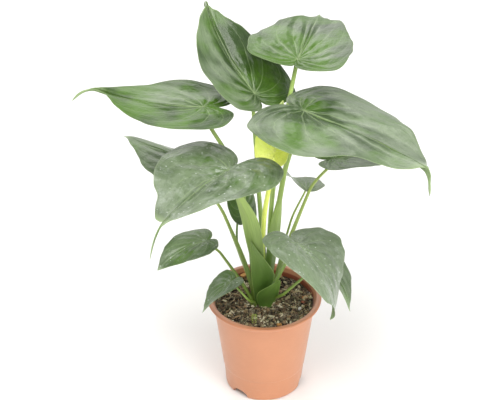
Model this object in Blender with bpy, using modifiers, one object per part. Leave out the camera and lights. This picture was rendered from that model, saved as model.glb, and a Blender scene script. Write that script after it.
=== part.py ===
"""Potted Alocasia cucullata: a plastic pot with soil, a crown, leaf stalks and leaf blades.

Metres, +Z up. The origin is on the pot's axis in the plane that the pot stands on.
The viewer stands on the -Y side.
"""
import math

import bmesh
import bpy
import numpy as np
from mathutils import Vector

MM = 0.001

# Pot, a turned plastic shell with a rolled rim
POT_HEIGHT = 155 * MM
RIM_RADIUS = 85 * MM
RIM_LIP_WIDTH = 8 * MM
RIM_LIP_HEIGHT = 4.5 * MM
WALL_TOP_RADIUS = 75.5 * MM
WALL_TOP_Z = 148 * MM
STEP_Z = 37 * MM
STEP_RADIUS = 61.5 * MM
STEP_DEPTH = 0.9 * MM
FOOT_RADIUS = 58 * MM
FOOT_ROUND = 4.5 * MM
POT_WALL = 2.0 * MM
FLOOR_DISC_RADIUS = 38 * MM
CHANNEL_HEIGHT = 12 * MM
POT_SIDES = 48

# Arched notches through the foot and drain holes in the channel
NOTCH_WIDTH = 28 * MM
NOTCH_HEIGHT = 10 * MM
NOTCH_ANGLES = (-130, -12, 108)
DRAIN_COUNT = 6
DRAIN_RADIUS = 4 * MM
DRAIN_CIRCLE = 47 * MM

# Soil and the crown, the short stem that the stalks stand on
SOIL_TOP = 143 * MM
SOIL_RELIEF = 1.6 * MM
CROWN_X = -2 * MM
CROWN_Y = 6 * MM
CROWN_RADIUS = 22.5 * MM
CROWN_TOP = 139 * MM
CROWN_BOTTOM = 112 * MM
SEAT_GAP = 0.3 * MM
STALK_GAP = 0.5 * MM

# Blades and stalks
BLADE_THICKNESS = 0.8 * MM
BLADE_SPOKES = 32
BLADE_RINGS = (0.06, 0.42, 0.75, 1.0)
STALK_POINTS = 13
SHEATH_POINTS = 21
STALK_TAPER = 0.6
STALK_SIDES = 10
SHEATH_SIDES = 14
SHEATH_THICKNESS = 4.4 * MM
SHEATH_THINNING = 0.18
SHEATH_ROUND = 28 * MM
BLADE_SPOKES_SMALL = 24
BLADE_RINGS_SMALL = (0.08, 0.5, 1.0)
SMALL_BLADE = 95

# Half outline of a blade from the sinus round one lobe to the tip:
# along the midrib in blade lengths, and across it in half widths
OUTLINE = (
    (-0.10, 0.0), (-0.24, 0.045), (-0.37, 0.16), (-0.44, 0.36), (-0.38, 0.64), (-0.21, 0.88),
    (0.045, 1.0), (0.305, 0.93), (0.545, 0.70), (0.75, 0.41), (0.89, 0.17), (0.96, 0.06),
)
SINUS = 0.10
LOBE_REACH = 0.44
TAIL_POINTS = 3
TAIL_DROOP_POWER = 0.7
BEND_POWER = 1.5
MIDRIB_STEPS = 241
WAVE_START = 0.2
WAVE_FULL = 0.5

# The leaves. Lengths are in millimetres and angles in degrees.
# length and width: the blade, from the stalk to the tip and across its widest place
# lobe: how far the lobes reach behind the stalk, in blade lengths
# tail and tail_width: length and width of the thin drip tip; tail_droop: how far it turns down
# at: where the stalk meets the blade; heading: direction of the midrib from +X towards +Y
# pitch: midrib's rise at the stalk; roll: left half raised; bend: midrib's fall towards the tip
# lobe_bend: rise of the lobes; fold: rise of the left and right halves beside the midrib
# curl: how much further each half turns up to its margin; twist and sway: of the outer half
# wave and waves: height and number of the margin's ripples
# foot and via: the stalk's place on the crown and a point it passes; rise and reach: its end rates
# meet: how far the stalk leans to the midrib where it meets the blade
# facing: the direction that the stalk's sheaths face; sheaths: for each, how far it stands out
# on its left and right, and the heights above the crown where it starts, is widest and ends
LEAVES = (
    dict(
        name="top_left",
        length=163, width=144, lobe=0.2, tail=14, tail_width=3, tail_droop=140,
        at=(-15, 55, 468), heading=129, pitch=27, roll=-11,
        bend=-9, lobe_bend=3, fold=(34, 4), curl=(-3, -40),
        twist=-9, sway=-21, wave=3.2, waves=7,
        foot=(2.2, 20.5), via=(-11, 71, 340), rise=0.8, reach=0.7,
        meet=0, foot_radius=4.4, top_radius=2.7,
        facing=-90, sheaths=(),
    ),
    dict(
        name="top_right",
        length=165, width=148, lobe=0.18, tail=0, tail_width=0, tail_droop=0,
        at=(45, 62, 519), heading=74, pitch=3, roll=9,
        bend=18, lobe_bend=28, fold=(6, 11), curl=(-8, 8),
        twist=-5, sway=5, wave=2.6, waves=6,
        foot=(6, 11.8), via=(12, 22, 327), rise=0.8, reach=0.5,
        meet=0, foot_radius=4.2, top_radius=2.9,
        facing=-90, sheaths=(),
    ),
    dict(
        name="left",
        length=156, width=148, lobe=0.27, tail=46, tail_width=6.4, tail_droop=85,
        at=(-86, 10, 472), heading=181, pitch=3, roll=-4,
        bend=-11, lobe_bend=1, fold=(15, -7), curl=(-13, 2),
        twist=-9, sway=-17, wave=3.2, waves=6,
        foot=(-15.9, 12.7), via=(-36, 32, 337), rise=0.8, reach=0.6,
        meet=0, foot_radius=4.0, top_radius=2.7,
        facing=-90, sheaths=(),
    ),
    dict(
        name="left_behind",
        length=123, width=115, lobe=0.33, tail=0, tail_width=0, tail_droop=0,
        at=(-100, 40, 355), heading=151, pitch=11, roll=4,
        bend=9, lobe_bend=3, fold=(3, -4), curl=(-25, -25),
        twist=9, sway=-1, wave=2.2, waves=5,
        foot=(-13.6, 1.1), via=(-58, 41, 269), rise=0.7, reach=0.5,
        meet=0, foot_radius=3.6, top_radius=2.0,
        facing=-120, sheaths=((2, 2, 15, 70, 110),),
    ),
    dict(
        name="front_left",
        length=177, width=167, lobe=0.24, tail=52, tail_width=3, tail_droop=50,
        at=(-50, -60, 413), heading=237, pitch=6, roll=4,
        bend=5, lobe_bend=11, fold=(24, 22), curl=(-46, -18),
        twist=-4, sway=10, wave=3, waves=5,
        foot=(-5.7, -2.4), via=(-20, -26, 298), rise=0.8, reach=0.5,
        meet=0, foot_radius=4.2, top_radius=2.8,
        facing=-100, sheaths=((9.5, 9.5, 40, 145, 235), (7, 19, 12, 55, 116)),
    ),
    dict(
        name="right",
        length=224, width=213, lobe=0.2, tail=33, tail_width=3, tail_droop=110,
        at=(53, -12, 479), heading=-35, pitch=-4, roll=-3,
        bend=-9, lobe_bend=-29, fold=(-5, 7), curl=(-2, -14),
        twist=0, sway=-26, wave=4.5, waves=8,
        foot=(5.1, 1.8), via=(27, 7, 362), rise=0.8, reach=0.5,
        meet=0, foot_radius=4.6, top_radius=3.4,
        facing=-70, sheaths=((5, 5, 30, 120, 180),),
    ),
    dict(
        name="right_behind",
        length=102, width=94, lobe=0.28, tail=0, tail_width=0, tail_droop=0,
        at=(99, 24, 379), heading=15, pitch=0, roll=-2,
        bend=27, lobe_bend=3, fold=(9, 13), curl=(-15, -8),
        twist=1, sway=-1, wave=1.8, waves=5,
        foot=(12.9, 6.6), via=(65, 43, 312), rise=0.7, reach=0.4,
        meet=0, foot_radius=3.6, top_radius=2.0,
        facing=-50, sheaths=((2.5, 2.5, 10, 80, 140),),
    ),
    dict(
        name="small_right",
        length=63, width=59, lobe=0.24, tail=0, tail_width=0, tail_droop=0,
        at=(61, 64, 302), heading=113, pitch=-6, roll=15,
        bend=14, lobe_bend=3, fold=(20, 20), curl=(22, 2),
        twist=11, sway=1, wave=1.2, waves=4,
        foot=(13.3, 13.5), via=(39, 53, 252), rise=0.8, reach=0.4,
        meet=0, foot_radius=2.4, top_radius=1.4,
        facing=-90, sheaths=(),
    ),
    dict(
        name="small_behind",
        length=69, width=64, lobe=0.35, tail=0, tail_width=0, tail_droop=0,
        at=(-31, 60, 270), heading=104, pitch=52, roll=38,
        bend=22, lobe_bend=4, fold=(7, 7), curl=(-20, -18),
        twist=2, sway=-1, wave=0.5, waves=3,
        foot=(-12.5, 19.1), via=(-40, 57, 205), rise=0.8, reach=0.5,
        meet=0, foot_radius=2.4, top_radius=1.5,
        facing=-90, sheaths=(),
    ),
    dict(
        name="new",
        length=71, width=64, lobe=0.3, tail=0, tail_width=0, tail_droop=0,
        at=(14, -15, 417), heading=70, pitch=62, roll=0,
        bend=-5, lobe_bend=0, fold=(32, 32), curl=(10, 10),
        twist=0, sway=0, wave=1, waves=3,
        foot=(-2.4, 7.8), via=(-1, 0, 293), rise=0.8, reach=0.5,
        meet=45, foot_radius=4.2, top_radius=3.2,
        facing=-90, sheaths=(),
    ),
    dict(
        name="low_left",
        length=80, width=76, lobe=0.2, tail=0, tail_width=0, tail_droop=0,
        at=(-86, -45, 284), heading=200, pitch=-10, roll=5,
        bend=27, lobe_bend=5, fold=(13, 14), curl=(-16, -27),
        twist=-19, sway=14, wave=1.4, waves=4,
        foot=(-17.2, -5), via=(-63, 1, 229), rise=0.6, reach=0.5,
        meet=0, foot_radius=3.0, top_radius=1.6,
        facing=-90, sheaths=(),
    ),
    dict(
        name="small_low_left",
        length=63, width=58, lobe=0.2, tail=0, tail_width=0, tail_droop=0,
        at=(-48, -40, 210), heading=216, pitch=-21, roll=9,
        bend=28, lobe_bend=5, fold=(18, 7), curl=(-10, 0),
        twist=16, sway=-3, wave=0.8, waves=4,
        foot=(-13.5, -9.5), via=(-25, -49, 185), rise=0.9, reach=0.5,
        meet=0, foot_radius=2.4, top_radius=1.4,
        facing=-90, sheaths=(),
    ),
    dict(
        name="low_right",
        length=126, width=154, lobe=0.21, tail=0, tail_width=0, tail_droop=0,
        at=(46, -70, 296), heading=-47, pitch=-15, roll=-25,
        bend=79, lobe_bend=6, fold=(2, 20), curl=(17, -46),
        twist=-6, sway=29, wave=2.6, waves=5,
        foot=(3.2, -9.4), via=(21, -44, 225), rise=0.8, reach=0.5,
        meet=0, foot_radius=3.4, top_radius=2.4,
        facing=-88, sheaths=((11.5, 0, -8, 20, 66), (0, 5.2, -15, 14, 62)),
    ),
    dict(
        name="low_right_behind",
        length=85, width=80, lobe=0.33, tail=0, tail_width=0, tail_droop=0,
        at=(84, -30, 240), heading=-47, pitch=-27, roll=-23,
        bend=35, lobe_bend=3, fold=(12, 17), curl=(-10, -14),
        twist=-14, sway=2, wave=1.4, waves=4,
        foot=(13, -0.9), via=(31, -38, 189), rise=0.9, reach=0.5,
        meet=0, foot_radius=3.0, top_radius=1.7,
        facing=-90, sheaths=(),
    ),
)

# Colours, linear, with roughness
TERRACOTTA = (0.71, 0.33, 0.17, 1.0)
PEAT = (0.055, 0.035, 0.025, 1.0)
CROWN_BROWN = (0.13, 0.10, 0.05, 1.0)
LEAF_GREEN = (0.10, 0.20, 0.07, 1.0)
NEW_GREEN = (0.50, 0.62, 0.10, 1.0)
STALK_GREEN = (0.28, 0.42, 0.11, 1.0)


def material(name, colour, roughness):
    """Principled material with a plain colour."""
    made = bpy.data.materials.new(name)
    made.use_nodes = True
    shader = made.node_tree.nodes["Principled BSDF"]
    shader.inputs["Base Color"].default_value = colour
    shader.inputs["Roughness"].default_value = roughness
    shader.inputs["Metallic"].default_value = 0.0
    made.diffuse_color = colour
    return made


def add_object(name, data, collection, mat=None):
    """Link one object with its material to a collection."""
    made = bpy.data.objects.new(name, data)
    collection.objects.link(made)
    if mat is not None:
        data.materials.append(mat)
    return made


def turned(name, profile, sides, collection, mat):
    """Turn a profile of (radius, height) points round Z with a Screw modifier."""
    mesh = bpy.data.meshes.new(name)
    edges = [(i, i + 1) for i in range(len(profile) - 1)]
    mesh.from_pydata([(r, 0.0, z) for r, z in profile], edges, [])
    made = add_object(name, mesh, collection, mat)
    screw = made.modifiers.new("Turn", "SCREW")
    screw.axis = "Z"
    screw.steps = sides
    screw.render_steps = sides
    screw.use_merge_vertices = True
    screw.merge_threshold = 0.00001
    screw.use_smooth_shade = True
    return made


def bake(made):
    """Replace an object's mesh by its evaluated one, so that later steps can move its points."""
    bpy.context.view_layer.update()
    graph = bpy.context.evaluated_depsgraph_get()
    mesh = bpy.data.meshes.new_from_object(made.evaluated_get(graph))
    made.modifiers.clear()
    made.data = mesh
    return mesh


def cylinder_cutter(name, collection, radius, depth, scale=(1.0, 1.0), sides=24):
    """Closed cylinder along Z, with its scale already in the mesh."""
    mesh = bpy.data.meshes.new(name)
    shape = bmesh.new()
    bmesh.ops.create_cone(
        shape, cap_ends=True, segments=sides, radius1=radius, radius2=radius, depth=depth)
    bmesh.ops.scale(shape, vec=(scale[0], scale[1], 1.0), verts=shape.verts)
    shape.to_mesh(mesh)
    shape.free()
    made = add_object(name, mesh, collection)
    made.hide_render = True
    made.display_type = "WIRE"
    return made


def cut(target, cutter):
    """Subtract one closed cutter from a closed object."""
    step = target.modifiers.new("Cut " + cutter.name, "BOOLEAN")
    step.operation = "DIFFERENCE"
    step.solver = "EXACT"
    step.object = cutter


def pot_inner_profile():
    """Inner face of the pot, from the floor's centre out and up to the lip."""
    slope = (WALL_TOP_RADIUS - STEP_RADIUS) / (WALL_TOP_Z - STEP_Z)
    low = CHANNEL_HEIGHT + POT_WALL
    disc = FLOOR_DISC_RADIUS - POT_WALL
    foot_slope = (STEP_RADIUS - STEP_DEPTH - FOOT_RADIUS) / (STEP_Z - FOOT_ROUND)
    return [
        (0.0, POT_WALL),
        (disc, POT_WALL),
        (disc, low),
        (FOOT_RADIUS + foot_slope * (low - FOOT_ROUND) - POT_WALL, low),
        (STEP_RADIUS - STEP_DEPTH - POT_WALL, STEP_Z),
        (WALL_TOP_RADIUS - POT_WALL - slope * MM, WALL_TOP_Z - MM),
    ]


def pot_profile():
    """Whole section of the pot: inner face up, over the rolled rim, outer face down, under the floor."""
    lip = RIM_RADIUS - RIM_LIP_WIDTH
    profile = pot_inner_profile()
    profile += [
        (lip - 1.6 * MM, POT_HEIGHT - 4.0 * MM),
        (lip - 0.1 * MM, POT_HEIGHT - 1.2 * MM),
        (lip + 1.6 * MM, POT_HEIGHT),
    ]
    half = RIM_LIP_HEIGHT / 2
    for step in range(7):
        angle = math.radians(90 - 30 * step)
        profile.append((
            RIM_RADIUS - half + half * math.cos(angle), POT_HEIGHT - half + half * math.sin(angle)))
    profile += [
        (lip + 2.4 * MM, POT_HEIGHT - RIM_LIP_HEIGHT - 0.4 * MM),
        (WALL_TOP_RADIUS + 0.6 * MM, WALL_TOP_Z),
        (WALL_TOP_RADIUS, WALL_TOP_Z - 3 * MM),
        (STEP_RADIUS, STEP_Z + 1.0 * MM),
        (STEP_RADIUS - STEP_DEPTH, STEP_Z),
    ]
    middle = FOOT_RADIUS - FOOT_ROUND
    for step in range(5):
        angle = math.radians(22.5 * step)
        profile.append((middle + FOOT_ROUND * math.cos(angle), FOOT_ROUND - FOOT_ROUND * math.sin(angle)))
    profile += [
        (FOOT_RADIUS - FOOT_ROUND - 1.2 * MM, 0.0),
        (FOOT_RADIUS - POT_WALL - 1.2 * MM, FOOT_ROUND - 1.0 * MM),
        (FOOT_RADIUS - POT_WALL, CHANNEL_HEIGHT),
        (FLOOR_DISC_RADIUS, CHANNEL_HEIGHT),
        (FLOOR_DISC_RADIUS, 0.0),
        (0.0, 0.0),
    ]
    return profile


def build_pot(parts, cutters):
    """Turned pot with three arched notches in its foot and six drain holes in the channel."""
    pot = turned("pot", pot_profile(), POT_SIDES, parts, material("pot plastic", TERRACOTTA, 0.45))
    middle = FOOT_RADIUS - POT_WALL / 2
    for number, degrees in enumerate(NOTCH_ANGLES):
        notch = cylinder_cutter(
            "notch_%d" % number, cutters, 1.0, 14 * MM, scale=(NOTCH_WIDTH / 2, NOTCH_HEIGHT), sides=16)
        angle = math.radians(degrees)
        notch.location = (middle * math.cos(angle), middle * math.sin(angle), 0.0)
        notch.rotation_euler = (math.pi / 2, 0.0, angle + math.pi / 2)
        cut(pot, notch)
    for number in range(DRAIN_COUNT):
        drain = cylinder_cutter("drain_%d" % number, cutters, DRAIN_RADIUS, 12 * MM, sides=10)
        angle = 2 * math.pi * (number + 0.5) / DRAIN_COUNT
        drain.location = (
            DRAIN_CIRCLE * math.cos(angle), DRAIN_CIRCLE * math.sin(angle), CHANNEL_HEIGHT + MM)
        cut(pot, drain)
    return pot


def soil_height(x, y):
    """Low humps of the soil's surface, in metres above its mean level."""
    return SOIL_RELIEF * (
        0.6 * np.sin(x * 110.0 + 0.6) * np.cos(y * 95.0 - 0.4)
        + 0.4 * np.sin(x * 230.0 - y * 180.0 + 1.1)
    )


def build_soil(parts, cutters):
    """Soil that fills the pot 0.3 mm clear of its walls, with a plain hole for the crown."""
    inner = [(max(r - SEAT_GAP, 0.0), z + SEAT_GAP) for r, z in pot_inner_profile()]
    low, top = inner[-2], inner[-1]
    part = (SOIL_TOP - low[1]) / (top[1] - low[1])
    edge = low[0] + part * (top[0] - low[0])
    profile = [(edge * ring / 7, SOIL_TOP) for ring in range(8)]
    profile += [low, inner[-3], inner[-4], inner[-5], inner[-6]]
    soil = turned("soil", profile, 40, parts, material("peat", PEAT, 0.95))
    mesh = bake(soil)
    count = len(mesh.vertices)
    points = np.empty(count * 3)
    mesh.vertices.foreach_get("co", points)
    points = points.reshape(count, 3)
    radius = np.hypot(points[:, 0], points[:, 1])
    free = np.clip((edge - 2 * MM - radius) / (10 * MM), 0.0, 1.0)
    on_top = points[:, 2] > SOIL_TOP - MM
    points[:, 2] += np.where(on_top, free * soil_height(points[:, 0], points[:, 1]), 0.0)
    mesh.vertices.foreach_set("co", points.ravel())
    shape = bmesh.new()
    shape.from_mesh(mesh)
    bmesh.ops.triangulate(shape, faces=shape.faces)
    shape.to_mesh(mesh)
    shape.free()
    bottom = CROWN_BOTTOM - SEAT_GAP
    hole = cylinder_cutter(
        "crown_hole", cutters, CROWN_RADIUS + SEAT_GAP, 2 * (SOIL_TOP - bottom), sides=32)
    hole.location = (CROWN_X, CROWN_Y, SOIL_TOP)
    cut(soil, hole)
    return soil


def build_crown(parts):
    """Squat turned crown with a flat top, where every stalk stands."""
    profile = [
        (0.0, CROWN_TOP),
        (CROWN_RADIUS - 0.4 * MM, CROWN_TOP),
        (CROWN_RADIUS, CROWN_TOP - 1.5 * MM),
        (CROWN_RADIUS - 1.5 * MM, CROWN_BOTTOM + 4 * MM),
        (CROWN_RADIUS - 5.0 * MM, CROWN_BOTTOM),
        (0.0, CROWN_BOTTOM),
    ]
    crown = turned("crown", profile, 28, parts, material("crown bark", CROWN_BROWN, 0.8))
    crown.location = (CROWN_X, CROWN_Y, 0.0)
    return crown


def smooth_curve(points, count, end_points):
    """Points of a centripetal Catmull-Rom curve, of which a few lie past the third last given point."""
    knots = np.concatenate([[0.0], np.cumsum(np.linalg.norm(np.diff(points, axis=0), axis=1) ** 0.5)])
    knots /= knots[-1]
    slopes = np.zeros_like(points)
    slopes[1:-1] = (points[2:] - points[:-2]) / (knots[2:] - knots[:-2])[:, None]
    slopes[0] = (points[1] - points[0]) / (knots[1] - knots[0])
    slopes[-1] = (points[-1] - points[-2]) / (knots[-1] - knots[-2])
    start = knots[-3] if end_points else 1.0
    at = np.linspace(0.0, start, count - end_points)
    at = np.concatenate([at, np.linspace(start, 1.0, end_points + 1)[1:]])
    low = np.clip(np.searchsorted(knots, at, side="right") - 1, 0, len(knots) - 2)
    step = knots[low + 1] - knots[low]
    x = ((at - knots[low]) / step)[:, None]
    return (
        (2 * x ** 3 - 3 * x ** 2 + 1) * points[low]
        + (x ** 3 - 2 * x ** 2 + x) * step[:, None] * slopes[low]
        + (3 * x ** 2 - 2 * x ** 3) * points[low + 1]
        + (x ** 3 - x ** 2) * step[:, None] * slopes[low + 1]
    )


def blade_outline(leaf, count):
    """Flat half outline in millimetres, from the sinus to the tip of the tail."""
    points = np.array(OUTLINE + ((1.0, 0.0),))
    behind = points[:, 0] < -SINUS
    points[behind, 0] += SINUS
    points[behind, 0] *= (leaf["lobe"] - SINUS) / (LOBE_REACH - SINUS)
    points[behind, 0] -= SINUS
    points[:, 0] *= leaf["length"]
    points[:, 1] *= leaf["width"] / 2
    if leaf["tail"]:
        points[-1, 1] = leaf["tail_width"] / 2
        end = [
            (leaf["length"] + 0.6 * leaf["tail"], 0.4 * leaf["tail_width"]),
            (leaf["length"] + leaf["tail"], 0.0),
        ]
        points = np.concatenate([points, end])
    return smooth_curve(points, count, TAIL_POINTS if leaf["tail"] else 0)


def blade_frame(leaf):
    """Unit vectors along the midrib, to its left and out of the upper face, at the stalk."""
    heading, pitch, roll = (math.radians(leaf[k]) for k in ("heading", "pitch", "roll"))
    ahead = np.array([
        math.cos(heading) * math.cos(pitch), math.sin(heading) * math.cos(pitch), math.sin(pitch)])
    level = np.array([-math.sin(heading), math.cos(heading), 0.0])
    raised = np.cross(ahead, level)
    left = level * math.cos(roll) + raised * math.sin(roll)
    up = raised * math.cos(roll) - level * math.sin(roll)
    return ahead, left, up


def blade_points(leaf, flat, lift):
    """Bend flat points (along, across) of a blade into space and place them, in millimetres.

    Each half is an arc across, from its fold angle at the midrib through its curl.
    The midrib is a curve whose slope falls as the power BEND_POWER of the way along it,
    it sways sideways by the same rule, and the blade twists about it in proportion.
    """
    along = flat[:, 0]
    across = flat[:, 1]
    half = leaf["width"] / 2
    w = np.abs(across) / half
    on_left = across > 0
    fold = np.radians(np.where(on_left, leaf["fold"][0], leaf["fold"][1]))
    curl = np.radians(np.where(on_left, leaf["curl"][0], leaf["curl"][1]) + 0.01)
    side = half / curl * (np.sin(fold + curl * w) - np.sin(fold))
    side = np.where(on_left, side, -side)
    rise = half / curl * (np.cos(fold) - np.cos(fold + curl * w)) + lift
    way = np.linspace(-0.6, 1.8, MIDRIB_STEPS)
    ahead_way = np.clip(way, 0.0, 1.15)
    tail = np.clip((way - 0.96) / (0.04 + leaf["tail"] / leaf["length"]), 0.0, 1.0) ** TAIL_DROOP_POWER
    slope = np.where(
        way > 0,
        -math.radians(leaf["bend"]) * ahead_way ** BEND_POWER,
        math.radians(leaf["lobe_bend"]) * way,
    ) - math.radians(leaf["tail_droop"]) * tail
    yaw = math.radians(leaf["sway"]) * ahead_way ** BEND_POWER
    pace = (way[1] - way[0]) * leaf["length"]

    def total(rate):
        summed = np.concatenate([[0.0], np.cumsum((rate[1:] + rate[:-1]) / 2 * pace)])
        return summed - np.interp(0.0, way, summed)

    t = along / leaf["length"]
    slope_t = np.interp(t, way, slope)
    yaw_t = np.interp(t, way, yaw)
    turn = math.radians(leaf["twist"]) * np.clip(t, -1.0, 1.15)
    side_t = side * np.cos(turn) - rise * np.sin(turn)
    rise_t = side * np.sin(turn) + rise * np.cos(turn)
    back = -np.sin(slope_t) * rise_t
    x = np.interp(t, way, total(np.cos(slope) * np.cos(yaw)))
    x = x + back * np.cos(yaw_t) - side_t * np.sin(yaw_t)
    y = np.interp(t, way, total(np.cos(slope) * np.sin(yaw)))
    y = y + back * np.sin(yaw_t) + side_t * np.cos(yaw_t)
    z = np.interp(t, way, total(np.sin(slope))) + np.cos(slope_t) * rise_t
    ahead, left, up = blade_frame(leaf)
    return np.array(leaf["at"], float) + x[:, None] * ahead + y[:, None] * left + z[:, None] * up


def build_blade(leaf, parts, mat):
    """Blade as a fan of rings round the stalk, split into triangles, with Solidify for its thickness."""
    small = leaf["length"] < SMALL_BLADE
    spokes = BLADE_SPOKES_SMALL if small else BLADE_SPOKES
    rings = BLADE_RINGS_SMALL if small else BLADE_RINGS
    half = blade_outline(leaf, spokes // 2 + 1)
    other = half[-2:0:-1] * np.array([1.0, -1.0])
    rim = np.concatenate([half, other])
    way = np.concatenate([np.linspace(0.0, 1.0, len(half)), np.linspace(1.0, 0.0, len(half))[1:-1]])
    ripple = leaf["wave"] * np.sin(math.pi * leaf["waves"] * way)
    ripple *= np.clip((way - WAVE_START) / (WAVE_FULL - WAVE_START), 0.0, 1.0)
    flat = np.concatenate([np.zeros((1, 2))] + [rim * ring for ring in rings])
    lift = np.concatenate([[0.0]] + [ripple * ring ** 4 for ring in rings])
    points = blade_points(leaf, flat, lift) * MM
    faces = [(0, 1 + i, 1 + (i + 1) % spokes) for i in range(spokes)]
    for ring in range(len(rings) - 1):
        inner = 1 + ring * spokes
        outer = inner + spokes
        for i in range(spokes):
            j = (i + 1) % spokes
            faces.append((inner + i, outer + i, outer + j))
            faces.append((inner + i, outer + j, inner + j))
    faces = [face[::-1] for face in faces]
    origin = Vector(leaf["at"]) * MM
    mesh = bpy.data.meshes.new("blade_" + leaf["name"])
    mesh.from_pydata([Vector(p) - origin for p in points], [], faces)
    mesh.shade_smooth()
    blade = add_object("blade_" + leaf["name"], mesh, parts, mat)
    blade.location = origin
    shell = blade.modifiers.new("Thickness", "SOLIDIFY")
    shell.thickness = BLADE_THICKNESS
    shell.offset = 0.0
    return blade


def hermite(start, start_rate, end, end_rate, count):
    """Cubic between two points with the given rates at its ends."""
    s = np.linspace(0.0, 1.0, count)[:, None]
    return (
        (2 * s ** 3 - 3 * s ** 2 + 1) * start
        + (s ** 3 - 2 * s ** 2 + s) * start_rate
        + (3 * s ** 2 - 2 * s ** 3) * end
        + (s ** 3 - s ** 2) * end_rate
    )


def stalk_route(leaf):
    """Centre line of a stalk in millimetres: upright from the crown, through its via point, to the blade.

    It meets the blade's lower face along the face's normal, turned towards the midrib by the meet angle.
    """
    ahead, left, up = blade_frame(leaf)
    meet = math.radians(leaf["meet"])
    into = math.cos(meet) * up + math.sin(meet) * ahead
    clear = (BLADE_THICKNESS / 2 + STALK_GAP) / MM + leaf["top_radius"] * math.sin(meet)
    foot = np.array([leaf["foot"][0], leaf["foot"][1], (CROWN_TOP + SEAT_GAP) / MM])
    via = np.array(leaf["via"], float)
    end = np.array(leaf["at"], float) - clear * up
    lower = np.linalg.norm(via - foot)
    upper = np.linalg.norm(end - via)
    through = (end - foot) / np.linalg.norm(end - foot)
    half = (SHEATH_POINTS if leaf["sheaths"] else STALK_POINTS) // 2 + 1
    first = hermite(foot, np.array([0.0, 0.0, leaf["rise"] * lower]), via, through * lower, half)
    second = hermite(via, through * upper, end, into * leaf["reach"] * upper, half)
    base = foot + np.array([0.0, 0.0, 1.5])
    tip = end - into * 1.5
    return np.concatenate([first[:1], [base], first[1:], second[1:-1], [tip], second[-1:]])


def sheath_widths(leaf, height):
    """How far the sheaths stand out on the left and right, at heights above the crown in millimetres."""
    left = np.zeros_like(height)
    right = np.zeros_like(height)
    for left_most, right_most, start, peak, end in leaf["sheaths"]:
        rising = np.sin(math.pi / 2 * np.clip((height - start) / (peak - start), 0.0, 1.0))
        falling = np.cos(math.pi / 2 * np.clip((height - peak) / (end - peak), 0.0, 1.0))
        share = np.where(height < peak, rising, falling)
        left = np.maximum(left, left_most * share)
        right = np.maximum(right, right_most * share)
    return left, right


def build_stalk(leaf, parts, mat):
    """Stalk as a tapered tube along its route, flattened and widened along its sheaths.

    What stands out past the tube bends back round the stalks behind it, by the square of the
    distance past the tube over twice the bend's radius.
    """
    route = stalk_route(leaf)
    run = np.concatenate([[0.0], np.cumsum(np.linalg.norm(np.diff(route, axis=0), axis=1))])
    foot, top = leaf["foot_radius"], leaf["top_radius"]
    radius = foot + (top - foot) * (run / run[-1]) ** STALK_TAPER
    left, right = sheath_widths(leaf, route[:, 2] - CROWN_TOP / MM)
    wing = np.maximum(left, right)
    thick = np.maximum(radius - SHEATH_THINNING * wing, np.minimum(radius, SHEATH_THICKNESS / 2 / MM))
    facing = math.radians(leaf["facing"])
    ahead = np.gradient(route, axis=0)
    ahead /= np.linalg.norm(ahead, axis=1, keepdims=True)
    out = np.array([math.cos(facing), math.sin(facing), 0.0])
    out = out - (ahead @ out)[:, None] * ahead
    out /= np.linalg.norm(out, axis=1, keepdims=True)
    side = np.cross(ahead, out)
    sides = SHEATH_SIDES if leaf["sheaths"] else STALK_SIDES
    turn = np.linspace(0.0, 2 * math.pi, sides, endpoint=False)
    stand = np.where(np.cos(turn) > 0, right[:, None], left[:, None])
    across = (radius[:, None] + stand) * np.cos(turn)
    past = np.maximum(np.abs(across) - radius[:, None], 0.0)
    depth = thick[:, None] * np.sin(turn) - past ** 2 / (2 * SHEATH_ROUND / MM)
    points = (
        route[:, None, :] + across[..., None] * side[:, None, :] + depth[..., None] * out[:, None, :])
    rows = len(route)
    faces = []
    for row in range(rows - 1):
        for i in range(sides):
            j = (i + 1) % sides
            faces.append((row * sides + i, row * sides + j, (row + 1) * sides + j, (row + 1) * sides + i))
    faces.append(tuple(range(sides))[::-1])
    faces.append(tuple(range((rows - 1) * sides, rows * sides)))
    name = "stalk_" + leaf["name"]
    mesh = bpy.data.meshes.new(name)
    local = (points.reshape(-1, 3) - route[0]) * MM
    mesh.from_pydata(local.tolist(), [], [face[::-1] for face in faces])
    shape = bmesh.new()
    shape.from_mesh(mesh)
    bmesh.ops.triangulate(shape, faces=shape.faces)
    bmesh.ops.recalc_face_normals(shape, faces=shape.faces)
    shape.to_mesh(mesh)
    shape.free()
    mesh.shade_smooth()
    stalk = add_object(name, mesh, parts, mat)
    stalk.location = Vector(route[0]) * MM
    return stalk


def clear_scene():
    """Remove every object of the open scene."""
    for old in list(bpy.data.objects):
        bpy.data.objects.remove(old, do_unlink=True)


def build():
    """Build the whole plant in its pot."""
    clear_scene()
    parts = bpy.data.collections.new("potted_alocasia")
    cutters = bpy.data.collections.new("cutters")
    bpy.context.scene.collection.children.link(parts)
    bpy.context.scene.collection.children.link(cutters)
    build_pot(parts, cutters)
    build_soil(parts, cutters)
    build_crown(parts)
    for leaf in LEAVES:
        green = NEW_GREEN if leaf["name"] == "new" else LEAF_GREEN
        build_blade(leaf, parts, material("blade " + leaf["name"], green, 0.42))
        build_stalk(leaf, parts, material("stalk " + leaf["name"], STALK_GREEN, 0.4))


build()
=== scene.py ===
"""Potted Alocasia cucullata, dressed: leaf blades, stalks, soil with its litter, pot and a pale stage.

Metres, +Z up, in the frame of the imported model. The viewer stands on the -Y side. The functions that
work out shapes use millimetres, and turn them into metres where they make a piece.
"""

import math

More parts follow.
